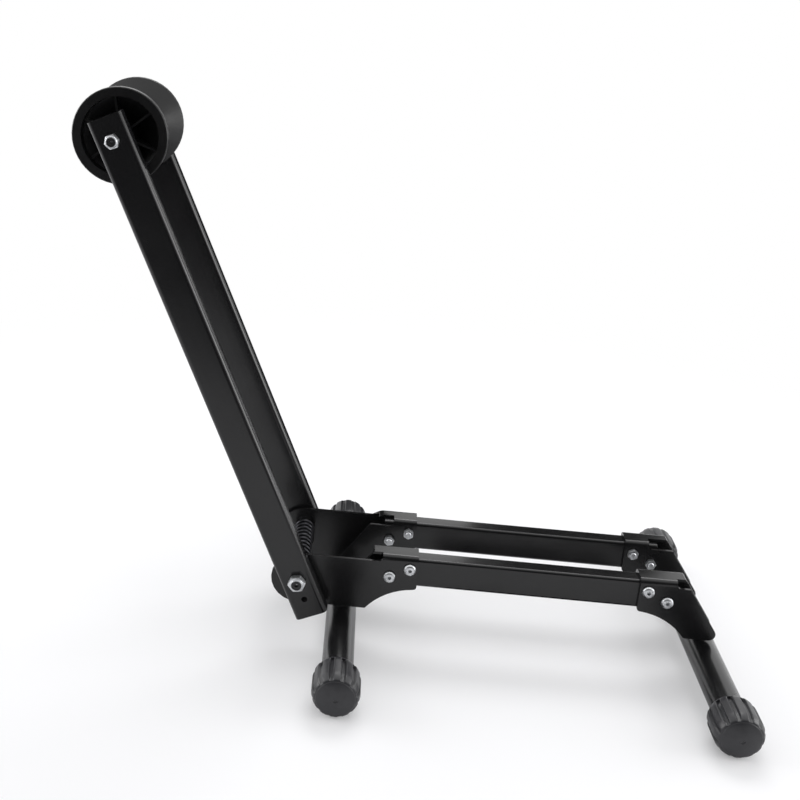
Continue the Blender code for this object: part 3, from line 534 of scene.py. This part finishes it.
# %% Nylon
def make_nylon():
    finish, tree, place = start_finish("moulded_nylon_black")
    flow = add_node(tree, "ShaderNodeTexNoise", values={"Scale": grain(1.5), "Detail": 3},
                    links={"Vector": place})
    tint = add_node(tree, "ShaderNodeMix", {"data_type": "RGBA"},
                    {MIX_A: colour("#131315"), MIX_B: colour("#1b1b1d")}, {0: flow.outputs["Fac"]})
    wear = add_node(tree, "ShaderNodeTexNoise", values={"Scale": grain(1), "Detail": 3},
                    links={"Vector": place})
    shine = add_node(tree, "ShaderNodeMapRange", values=stretched(0.34, 0.50),
                     links={"Value": wear.outputs["Fac"]})
    skin = add_node(tree, "ShaderNodeTexNoise", values={"Scale": grain(0.5), "Detail": 2},
                    links={"Vector": place})
    bump = add_node(tree, "ShaderNodeBump", values={"Strength": 0.5, "Distance": 0.03 * MM},
                    links={"Height": skin.outputs["Fac"]})
    shader = add_node(tree, "ShaderNodeBsdfPrincipled",
                      values={"Metallic": 0, "IOR": 1.53, "Specular IOR Level": 0.5},
                      links={"Base Color": tint.outputs[MIX_OUT], "Roughness": shine.outputs["Result"],
                             "Normal": bump.outputs["Normal"]})
    add_node(tree, "ShaderNodeOutputMaterial", links={"Surface": shader.outputs["BSDF"]})
    return finish


nylon = make_nylon()
print(nylon.name, len(nylon.node_tree.nodes))

# %% [markdown]
# ## Which node has which finish
# The names in the frame say what each piece is. A piece that is shown as the CAD made it gets its
# finish here, by its material slots. The pieces that are modelled again below get theirs there.

# %% Finishes for the CAD nodes
FINISHES = {"powder_coat": powder_coat, "cap_rubber": rubber, "zinc": zinc,
            "spring_steel": spring_steel, "roller_plastic": roller_plastic, "nylon": nylon}


def slot_of(name):
    """The record's material slot for a node, from its name."""
    if "foot_cap" in name:
        return "cap_rubber"
    if "spacer" in name:
        return "nylon"
    if name == "torsion_spring":
        return "spring_steel"
    if name == "roller":
        return "roller_plastic"
    if any(word in name for word in ("screw", "nut", "sleeve")):
        return "zinc"
    return "powder_coat"


for name, node in nodes.items():
    node.data.materials.clear()
    node.data.materials.append(FINISHES[slot_of(name)])
print({slot: sum(slot_of(name) == slot for name in nodes) for slot in FINISHES})

# %% [markdown]
# ## Working by hand, in code
# An operator acts on all that is selected, and the frame's nodes arrive selected. So each step starts
# with nothing selected, picks its own piece, and goes in and out of edit mode itself.

# %% Editing helpers
def pick(piece):
    """Make a piece the only one selected, and the active one."""
    bpy.ops.object.select_all(action="DESELECT")
    piece.select_set(True)
    bpy.context.view_layer.objects.active = piece


def edit_all(piece):
    """Open a piece in edit mode with every vertex selected."""
    pick(piece)
    bpy.ops.object.mode_set(mode="EDIT")
    bpy.context.tool_settings.mesh_select_mode = (True, False, False)
    bpy.ops.mesh.select_all(action="SELECT")


def apply_modifier(piece, kind, **settings):
    pick(piece)
    bpy.ops.object.modifier_add(type=kind)
    modifier = piece.modifiers[-1]
    for name, setting in settings.items():
        setattr(modifier, name, setting)
    bpy.ops.object.modifier_apply(modifier=modifier.name)


def smooth(piece, degrees=35):
    """Smooth shading that keeps the hard edges, and keeps large faces flat beside small ones."""
    pick(piece)
    bpy.ops.object.shade_smooth_by_angle(angle=math.radians(degrees))
    apply_modifier(piece, "WEIGHTED_NORMAL", keep_sharp=True, weight=50)


def dress(piece, slot, *replaced):
    """Give a piece its finish and its body, and hide the nodes that it stands for."""
    piece.data.materials.clear()
    piece.data.materials.append(FINISHES[slot])
    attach(piece, nodes[replaced[0]]["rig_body"])
    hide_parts(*replaced)


print("helpers ready")

# %% [markdown]
# ## Rounded edges on the steel
# Sheet and tube have no sharp edges once they are coated: the powder melts round each one. That round
# is only a few tenths of a millimetre, but it catches a line of light along every edge, and on black
# steel this line is most of what is seen. Each steel piece is a copy of its CAD node. The copy is
# merged, its flat parts are joined to single faces, and a small bevel runs round the sharp edges.

# %% Coated steel
# Angles in degrees.
EDGE_ROUND_MM = 0.4
EDGE_ANGLE = 32
CAD_MERGE_MM = 0.002
FLAT_WITHIN = 0.5
STEEL = ("near_arm", "far_arm", "near_rail", "far_rail", "left_cross_tube", "right_cross_tube",
         "near_left_bracket", "near_right_bracket", "far_left_bracket", "far_right_bracket")


def copy_of_node(name, suffix):
    """A copy of a CAD node with its loose triangles merged and its flat parts joined."""
    piece = bpy.data.objects.new(f"{name}_{suffix}", nodes[name].data.copy())
    bpy.context.scene.collection.objects.link(piece)
    edit_all(piece)
    bpy.ops.mesh.customdata_custom_splitnormals_clear()
    bpy.ops.mesh.remove_doubles(threshold=CAD_MERGE_MM * MM)
    bpy.ops.mesh.dissolve_limited(angle_limit=math.radians(FLAT_WITHIN))
    bpy.ops.mesh.normals_make_consistent(inside=False)
    bpy.ops.object.mode_set(mode="OBJECT")
    return piece


def round_edges(piece, width_mm, degrees):
    """Bevel the edges at which the surface turns by more than an angle."""
    apply_modifier(piece, "BEVEL", width=width_mm * MM, segments=2, limit_method="ANGLE",
                   angle_limit=math.radians(degrees), use_clamp_overlap=True, miter_outer="MITER_ARC",
                   harden_normals=False)


def coat_steel(name):
    piece = copy_of_node(name, "coated")
    round_edges(piece, EDGE_ROUND_MM, EDGE_ANGLE)
    smooth(piece, degrees=40)
    dress(piece, "powder_coat", name)
    return piece


steel = {name: coat_steel(name) for name in STEEL}
print({name: len(piece.data.polygons) for name, piece in steel.items()})

# %% [markdown]
# ## The lathe
# Screws, nuts and caps are turned or moulded round an axis. A lathe cuts such a piece from one profile,
# and so does the spin tool: a single vertex is extruded along the profile, and the line is spun round
# the Y axis. Spinning can leave the faces inside out, so the doubles are merged and the normals set.

# %% Lathe
MERGE_MM = 0.001


def turn_profile(name, profile, sides, closed=False):
    """Spin a profile of (radius, y) points in mm about the Y axis."""
    bpy.ops.object.select_all(action="DESELECT")
    bpy.ops.mesh.primitive_plane_add(size=MM, location=(0, 0, 0))
    piece = bpy.context.object
    piece.name = piece.data.name = name
    edit_all(piece)
    bpy.ops.mesh.merge(type="CENTER")
    points = [Vector((radius, y, 0)) * MM for radius, y in profile]
    bpy.ops.transform.translate(value=points[0])
    path = points + points[:1] if closed else points
    for start, end in zip(path, path[1:]):
        bpy.ops.mesh.extrude_region_move(TRANSFORM_OT_translate={"value": end - start})
    bpy.ops.mesh.select_all(action="SELECT")
    bpy.ops.mesh.spin(steps=sides, angle=math.tau, center=(0, 0, 0), axis=(0, 1, 0))
    bpy.ops.mesh.select_all(action="SELECT")
    bpy.ops.mesh.remove_doubles(threshold=MERGE_MM * MM)
    bpy.ops.mesh.normals_make_consistent(inside=False)
    bpy.ops.object.mode_set(mode="OBJECT")
    return piece


def place_mesh(piece, place, turn_y=0.0, turn_z=0.0):
    """Move a piece's mesh to its place, so that its object stays at the origin."""
    piece.data.transform(Matrix.Translation(place) @ Matrix.Rotation(turn_z, 4, "Z")
                         @ Matrix.Rotation(turn_y, 4, "Y"))


def own_copy(master, name):
    """A copy with a mesh of its own."""
    piece = bpy.data.objects.new(name, master.data.copy())
    bpy.context.scene.collection.objects.link(piece)
    return piece


def remove_piece(piece):
    bpy.data.objects.remove(piece, do_unlink=True)


def centre_of(name):
    low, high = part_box(name)
    return (low + high) / 2


print("lathe ready")

# %% [markdown]
# ## Hexagons
# A nut starts as a bar with six sides that is turned down at its corners, which leaves the curved edge
# that runs over each flat. Cutting corners one by one would never give that curve. Meeting the turned
# blank with a six-sided bar gives it at once, so that is a boolean with the intersect operation.

# %% Hexagon bar
BAR_SPARE = 1


def hexagon_corner(flats):
    """The radius at the corners of a hexagon, from its width across flats."""
    return flats / 2 / math.cos(math.pi / 6)


def add_bar(flats_mm, reach_mm, y_mm=0):
    """A hexagon bar along Y that reaches this far both ways from its middle."""
    bpy.ops.object.select_all(action="DESELECT")
    bpy.ops.mesh.primitive_cylinder_add(
        vertices=6, radius=hexagon_corner(flats_mm) * MM, depth=2 * reach_mm * MM,
        location=(0, y_mm * MM, 0), rotation=(math.pi / 2, 0, 0))
    return bpy.context.object


def meet_with_bar(blank, flats_mm, reach_mm):
    """Keep what a turned blank has in common with a hexagon bar that is a little longer."""
    bar = add_bar(flats_mm, reach_mm + BAR_SPARE)
    bpy.ops.object.transform_apply(location=True, rotation=True, scale=True)
    apply_modifier(blank, "BOOLEAN", operation="INTERSECT", solver="EXACT", object=bar)
    remove_piece(bar)


print("bar ready")

# %% [markdown]
# ## Rail screws
# Eight low button heads hold the brackets to the rails. Each head is a dome with a flat top, and the
# hexagon key hole is pressed into that. Its punch leaves a raised flat ring round the hole, with a small
# step down to the dome, and this ring and step are what still shows of a screw at this size. The head is
# modelled once, facing +Y, with its shank, and copied.

# %% Rail screws
HEAD_R, HEAD_HEIGHT, HEAD_RIM = 5.0, 2.7, 0.5
HEAD_FLAT_R, HEAD_STEP, DOME_GAP = 2.5, 0.12, 0.25
SHANK_R, SHANK_LENGTH, SHANK_CHAMFER = 2.5, 25.7, 0.6
SOCKET_FLATS, SOCKET_DEPTH = 3.0, 2.4
NUT_FLATS, NUT_CORNER_R, NUT_BORE_R, NUT_HEIGHT = 8, 4.62, 2.8, 3.5
NUT_CHAMFER, NUT_SLOPE, NUT_LEAD_IN = 0.45, 0.55, 0.3
SCREW_SIDES = 48
# Each fastener is turned this many degrees further than the one before, so that no two look the same.
TURN_STEP = 17


def dome_points(steps=9):
    """The dome from its rim to the step, then the step and the edge of the flat."""
    top, inner = HEAD_HEIGHT - HEAD_STEP, HEAD_FLAT_R + DOME_GAP
    points = []
    for i in range(steps + 1):
        t = i / steps * math.pi / 2
        points.append((inner + (HEAD_R - inner) * math.cos(t), HEAD_RIM + (top - HEAD_RIM) * math.sin(t)))
    return points + [(HEAD_FLAT_R + 0.08, top), (HEAD_FLAT_R, HEAD_HEIGHT - 0.03),
                     (HEAD_FLAT_R - 0.1, HEAD_HEIGHT)]


def model_rail_screw():
    shank = [(0, -SHANK_LENGTH), (SHANK_R - SHANK_CHAMFER, -SHANK_LENGTH),
             (SHANK_R, -SHANK_LENGTH + SHANK_CHAMFER), (SHANK_R, 0)]
    rim = [(HEAD_R - 0.25, 0), (HEAD_R, 0.2)]
    profile = shank + rim + dome_points() + [(0, HEAD_HEIGHT)]
    screw = turn_profile("rail_screw_master", profile, SCREW_SIDES)
    key = add_bar(SOCKET_FLATS, SOCKET_DEPTH, HEAD_HEIGHT)
    apply_modifier(screw, "BOOLEAN", operation="DIFFERENCE", solver="EXACT", object=key)
    remove_piece(key)
    return screw


def model_rail_nut():
    """A thin nut with both faces chamfered, its seat at 0 and its body on the -Y side."""
    face, slope = NUT_CORNER_R - NUT_CHAMFER, NUT_CHAMFER * NUT_SLOPE
    profile = [(NUT_BORE_R, 0), (face, 0), (NUT_CORNER_R, -slope), (NUT_CORNER_R, -NUT_HEIGHT + slope),
               (face, -NUT_HEIGHT), (NUT_BORE_R + NUT_LEAD_IN, -NUT_HEIGHT),
               (NUT_BORE_R, -NUT_HEIGHT + NUT_LEAD_IN)]
    nut = turn_profile("rail_nut_master", profile, SCREW_SIDES, closed=True)
    meet_with_bar(nut, NUT_FLATS, NUT_HEIGHT)
    return nut


screw_master, nut_master = model_rail_screw(), model_rail_nut()
rail_fasteners = []
for name in sorted(nodes):
    if "rail_screw" in name or "rail_nut" in name:
        is_screw, near = "rail_screw" in name, "near" in name
        master, thickness = (screw_master, HEAD_HEIGHT) if is_screw else (nut_master, NUT_HEIGHT)
        piece = own_copy(master, f"{name}_turned")
        low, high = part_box(name)
        seat_y = low.y + thickness * MM if near == is_screw else high.y - thickness * MM
        place_mesh(piece, Vector(((low.x + high.x) / 2, seat_y, (low.z + high.z) / 2)),
                   turn_y=math.radians(TURN_STEP * len(rail_fasteners)),
                   turn_z=math.pi if near else 0)
        smooth(piece, degrees=30)
        dress(piece, "zinc", name)
        rail_fasteners.append(piece)
remove_piece(screw_master)
remove_piece(nut_master)
print("rail fasteners", len(rail_fasteners))

# %% [markdown]
# ## The two long screws
# One screw holds both arms at the pivot, and a thinner one is the roller's axle. A hexagon head has its
# outer corners turned down and a thin round face under it, so that the corners don't scratch the paint.
# Both are modelled along Y at the origin, head at +Y, and moved to the axis that the frame gives.

# %% Long screws
# In mm: radius, width across flats and height of head. TIP_RECESS is how much shorter the screw is drawn
# than the frame has it, and HEX_CHAMFER is a share of half the width across flats.
LONG_SCREWS = {"pivot_screw": (4.0, 13.0, 5.3), "axle_screw": (3.0, 10.0, 4.0)}
TIP_RECESS = {"pivot_screw": 3.8, "axle_screw": 1.9}
TIP_CHAMFER = 0.8
WASHER_INSET, WASHER_HEIGHT, HEXAGON_FROM = 0.4, 0.3, 0.5
HEX_CHAMFER = 0.2
NUT_TURN = {"pivot": math.radians(18.5), "axle": math.radians(9.5)}


def hexagon_chamfer(flats):
    """How far a corner's chamfer runs inwards, and how far along the axis."""
    inwards = flats / 2 * HEX_CHAMFER
    return inwards, inwards * math.tan(math.radians(30))


def place_on_axis(piece, name):
    """Move a piece that was modelled round Y to its node's axis, turn its flats and smooth it."""
    centre = centre_of(name)
    place_mesh(piece, Vector((centre.x, 0, centre.z)), turn_y=NUT_TURN[name.split("_")[0]])
    smooth(piece, degrees=30)


def model_long_screw(name, radius, flats, head):
    low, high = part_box(name)
    seat, tip = high.y / MM - head, low.y / MM + TIP_RECESS[name]
    corner, washer_r = hexagon_corner(flats), flats / 2 - WASHER_INSET
    chamfer, slope = hexagon_chamfer(flats)
    profile = [(0, tip), (radius - TIP_CHAMFER, tip), (radius, tip + TIP_CHAMFER), (radius, seat),
               (washer_r, seat), (washer_r, seat + WASHER_HEIGHT), (corner, seat + HEXAGON_FROM),
               (corner, seat + head - slope), (corner - chamfer, seat + head), (0, seat + head)]
    screw = turn_profile(f"{name}_turned", profile, SCREW_SIDES)
    meet_with_bar(screw, flats, high.y / MM)
    place_on_axis(screw, name)
    dress(screw, "zinc", name)
    return screw


long_screws = [model_long_screw(name, *sizes) for name, sizes in LONG_SCREWS.items()]
print([piece.name for piece in long_screws])

# %% [markdown]
# ## Lock nuts
# A lock nut carries a ring of nylon above its threads, held by a rolled collar. The screw bites into the
# nylon and stays put, which is what a joint that must turn freely needs. The ring's hole is narrower than
# the screw, whose end stops just inside, so from outside one sees a bright collar with black nylon in
# it. Nut and ring are two pieces. The ring is new, so it takes the nylon slot and rides with the arm.

# %% Lock nuts
# In mm: the screw's radius, width across flats, height, and the collar's radius and height. The bare
# numbers in a profile are its small rounds and chamfers. RING_HOLE is a share of the screw's radius.
LOCK_NUTS = {"pivot_lock_nut": (4.0, 12.8, 4.9, 5.3, 1.9), "axle_lock_nut": (3.0, 10.0, 4.5, 4.3, 1.8)}
BORE_GAP, COLLAR_WALL, COLLAR_ROLL = 0.3, 1.0, 0.6
RING_GAP, RING_HOLE = 0.2, 0.4


def model_lock_nut(name, screw_r, flats, height, collar_r, collar_height):
    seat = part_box(name)[1].y / MM
    corner, bore = hexagon_corner(flats), screw_r + BORE_GAP
    chamfer, slope = hexagon_chamfer(flats)
    face, end, lip = seat - height, seat - height - collar_height, collar_r - COLLAR_WALL
    profile = [(bore + 0.4, seat), (corner - chamfer, seat), (corner, seat - slope),
               (corner, face + slope), (corner - chamfer, face),
               (collar_r + 0.25, face), (collar_r, face - 0.25)]
    profile += [(collar_r - COLLAR_ROLL * (1 - math.cos(t)), end + COLLAR_ROLL * (1 - math.sin(t)))
                for t in (i * math.pi / 10 for i in range(6))]
    profile += [(lip, end), (lip - 0.1, end + 0.2), (lip - 0.1, face - 0.1),
                (bore, face), (bore, seat - 0.4)]
    nut = turn_profile(f"{name}_turned", profile, SCREW_SIDES, closed=True)
    meet_with_bar(nut, flats, -end)
    ring_out, ring_in = lip - RING_GAP, screw_r * RING_HOLE
    profile = [(ring_out, face - 0.2), (ring_out, end + 0.35), (ring_out - 0.2, end + 0.15),
               (ring_in + 0.2, end + 0.2), (ring_in, end + 0.45), (ring_in, face - 0.2)]
    ring = turn_profile(f"{name}_nylon_ring", profile, SCREW_SIDES, closed=True)
    place_on_axis(nut, name)
    place_on_axis(ring, name)
    dress(nut, "zinc", name)
    ring.data.materials.append(nylon)
    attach(ring, nodes[name]["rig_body"])
    return nut, ring


lock_nuts = [model_lock_nut(name, *sizes) for name, sizes in LOCK_NUTS.items()]
print([piece.name for pair in lock_nuts for piece in pair])

# %% [markdown]
# ## The torsion spring
# A torsion spring carries the arm and pushes back when the arm is swung. Its wire goes round the sleeve
# a little over ten times. One end is bent along the axis into the sleeve's flange, and the other hangs
# down as a leg with a hooked end in the far plate. A wire of one thickness along a path is what a curve
# with a round bevel is for. The path has 36 points for each turn, and it is made a mesh at the end.

# %% Torsion spring
COIL_R, WIRE_R = 7.25, 1.6
COIL_FIRST, COIL_LAST, COIL_PITCH = -31.7, 34.7, 6.4
BEND_R, LEG_DROP, LEG_END, TAIL_END = 3.2, 15.2, 42.0, -39.2
POINTS_PER_TURN, BEND_STEPS = 36, 8
SPRING_WHOLE = math.tau * (COIL_LAST - COIL_FIRST) / COIL_PITCH


def spring_path():
    """The wire's centre line about the pivot, in mm, from the near tail to the end of the far leg."""
    outward = Vector((-math.sin(SPRING_WHOLE), 0, math.cos(SPRING_WHOLE)))
    start = Vector((COIL_R * math.cos(SPRING_WHOLE), COIL_FIRST, COIL_R * math.sin(SPRING_WHOLE)))
    tail = start + outward * BEND_R
    path = [Vector((tail.x, TAIL_END, tail.z))]
    for i in range(BEND_STEPS):
        t = i / BEND_STEPS * math.pi / 2
        path.append(start + outward * BEND_R * math.cos(t) - Vector((0, BEND_R * (1 - math.sin(t)), 0)))
    count = round(SPRING_WHOLE / math.tau * POINTS_PER_TURN)
    for i in range(count + 1):
        angle = SPRING_WHOLE * (1 - i / count)
        y = COIL_FIRST + (COIL_LAST - COIL_FIRST) * i / count
        path.append(Vector((COIL_R * math.cos(angle), y, COIL_R * math.sin(angle))))
    corner = Vector((COIL_R, COIL_LAST, -LEG_DROP))
    for i in range(BEND_STEPS + 1):
        t = i / BEND_STEPS * math.pi / 2
        path.append(corner + BEND_R * Vector((0, 1 - math.cos(t), 1 - math.sin(t))))
    return path + [Vector((COIL_R, LEG_END, -LEG_DROP))]


def wind_spring():
    path = spring_path()
    bpy.ops.object.select_all(action="DESELECT")
    bpy.ops.curve.primitive_nurbs_path_add()
    spring = bpy.context.object
    spring.name = spring.data.name = "torsion_spring_wound"
    spring.data.splines.clear()
    wire = spring.data.splines.new("POLY")
    wire.points.add(len(path) - 1)
    pivot = centre_of("pivot_lock_nut")
    for point, spot in zip(wire.points, path):
        point.co = (pivot.x + spot.x * MM, spot.y * MM, pivot.z + spot.z * MM, 1)
    spring.data.bevel_depth = WIRE_R * MM
    spring.data.bevel_resolution = 4
    spring.data.use_fill_caps = True
    bpy.ops.object.convert(target="MESH")
    edit_all(spring)
    bpy.ops.mesh.remove_doubles(threshold=MERGE_MM * MM)
    bpy.ops.mesh.normals_make_consistent(inside=False)
    bpy.ops.object.mode_set(mode="OBJECT")
    smooth(spring, degrees=50)
    spring.data.materials.clear()
    spring.data.materials.append(spring_steel)
    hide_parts("torsion_spring")
    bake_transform(spring)
    return spring


spring = wind_spring()
print("turns", round(SPRING_WHOLE / math.tau, 2), "faces", len(spring.data.polygons))

# %% [markdown]
# ## Foot caps
# The caps are pushed over the tube ends. A narrow collar runs round the open end. Behind it twelve
# flutes begin in dark pits and run straight along the wall. They end by themselves where the round front
# falls below their floor, which leaves a scalloped line round its shoulder. The face is a low dome,
# raised a little above the shoulder, with the mark of the mould's gate in its middle. The cap is spun
# from its profile, with 24 faces for each flute, and then its wall is drawn in between the lands.

# %% Foot caps
# In mm, with the open end at 0. The runs are shares of the front's length and of the face's radius. A
# flute begins where the cosine that spaces the flutes falls below -LAND_EDGE, and it is at full depth
# when the cosine has fallen by FLUTE_BANK more.
CAP_R, CAP_LENGTH, CAP_BORE, CAP_END_WALL = 18.8, 34.5, 12.8, 4.0
CAP_COLLAR_R, CAP_COLLAR = 16.3, 1.4
CAP_BELLY, CAP_BELLY_END = 8.5, 22.5
CAP_FACE_START, CAP_FACE_R = 31.2, 16.2
CAP_NECK, CAP_WALL_STEPS = 0.3, (12, 15.5, 19)
FRONT_RUNS = (0.15, 0.3, 0.4, 0.5, 0.58, 0.66, 0.73, 0.8)
FACE_RUNS = (0.918, 0.88, 0.8, 0.7, 0.55, 0.4, 0.25, 0.15, 0.105)
GATE_R, GATE_RIM, GATE_FLOOR = 1.4, 0.6, 0.8
CAP_FLUTES, SIDES_PER_FLUTE = 12, 24
LAND_EDGE, FLUTE_BANK = 0.15, 0.6
FLUTE_FLOOR = ((1.4, 14.7), (10.0, 17.3), (22.5, 17.3), (31.2, 15.85))
CAP_SHOULDER = [(16.85, 30.0), (16.5, 30.45), (16.15, 30.78), (15.75, 31.02),
                (15.35, 31.18), (15.12, 31.3), (15.02, 31.52)]


def cap_profile():
    """From the bore's floor out round the rim, along the wall and over the dome to the gate mark."""
    points = [(0, CAP_LENGTH - CAP_END_WALL), (CAP_BORE, CAP_LENGTH - CAP_END_WALL), (CAP_BORE, 0.3),
              (CAP_BORE + 0.3, 0), (CAP_COLLAR_R - 0.4, 0), (CAP_COLLAR_R, 0.4),
              (CAP_COLLAR_R, CAP_COLLAR - 0.15)]
    for i in range(9):
        t = i / 8 * math.pi / 2
        points.append((CAP_COLLAR_R + CAP_NECK + (CAP_R - CAP_COLLAR_R - CAP_NECK) * math.sin(t),
                       CAP_COLLAR + CAP_NECK + (CAP_BELLY - CAP_COLLAR) * (1 - math.cos(t))))
    points += [(CAP_R, y) for y in (*CAP_WALL_STEPS, CAP_BELLY_END)]
    for run in FRONT_RUNS:
        points.append((CAP_R - (CAP_R - CAP_FACE_R) * run ** 2,
                       CAP_BELLY_END + (CAP_FACE_START - CAP_BELLY_END) * run))
    points += CAP_SHOULDER
    for run in FACE_RUNS:
        points.append((CAP_FACE_R * run, CAP_FACE_START + (CAP_LENGTH - CAP_FACE_START) * (1 - run ** 2)))
    return points + [(GATE_R, CAP_LENGTH - GATE_RIM), (0, CAP_LENGTH - GATE_FLOOR)]


def floor_radius(y):
    """How far from the axis the flutes' floor is, by straight steps between its points."""
    for (y0, r0), (y1, r1) in zip(FLUTE_FLOOR, FLUTE_FLOOR[1:]):
        if y <= y1:
            return r0 + (r1 - r0) * (y - y0) / (y1 - y0)
    return FLUTE_FLOOR[-1][1]


def cut_flutes(cap):
    """Draw the wall in to the flutes' floor between the lands, but leave the bore and the collar."""
    for vertex in cap.data.vertices:
        x, y, z = vertex.co / MM
        radius = math.hypot(x, z)
        if radius < CAP_BORE + 0.5 or y < CAP_COLLAR + 0.1:
            continue
        wave = math.cos(CAP_FLUTES * (math.atan2(z, x) + math.pi / 2))
        groove = min(max((-LAND_EDGE - wave) / FLUTE_BANK, 0), 1)
        depth = max(0, radius - floor_radius(y))
        scale = 1 - depth * groove * groove * (3 - 2 * groove) / radius
        vertex.co.x *= scale
        vertex.co.z *= scale


def make_foot_caps():
    master = turn_profile("foot_cap_master", cap_profile(), CAP_FLUTES * SIDES_PER_FLUTE)
    cut_flutes(master)
    caps = []
    for name in sorted(nodes):
        if "foot_cap" in name:
            low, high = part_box(name)
            near = name.startswith("near")
            rim = high.y if near else low.y
            cap = own_copy(master, f"{name}_moulded")
            place_mesh(cap, Vector(((low.x + high.x) / 2, rim, (low.z + high.z) / 2)),
                       turn_z=math.pi if near else 0)
            smooth(cap, degrees=50)
            dress(cap, "cap_rubber", name)
            caps.append(cap)
    remove_piece(master)
    return caps


caps = make_foot_caps()
print("caps", len(caps), "faces each", len(caps[0].data.polygons))

# %% [markdown]
# ## Roller, sleeves and spacers
# The roller, the sleeves and the spacers have the right shape in the frame already. They are copied as
# the steel was, with a small round on their edges, because a moulded or turned edge is never sharp.

# %% Small turned parts
SMALL_EDGE_ANGLE = 40
# The width of the round on each one's edges, in mm.
SMALL_PARTS = {"roller": 0.35, "pivot_sleeve": 0.3, "axle_sleeve": 0.2,
               "near_axle_spacer": 0.3, "far_axle_spacer": 0.3}


def finish_small_part(name, width_mm):
    piece = copy_of_node(name, "finished")
    round_edges(piece, width_mm, SMALL_EDGE_ANGLE)
    smooth(piece)
    dress(piece, slot_of(name), name)
    return piece


small_parts = {name: finish_small_part(name, width) for name, width in SMALL_PARTS.items()}
print({name: len(piece.data.polygons) for name, piece in small_parts.items()})
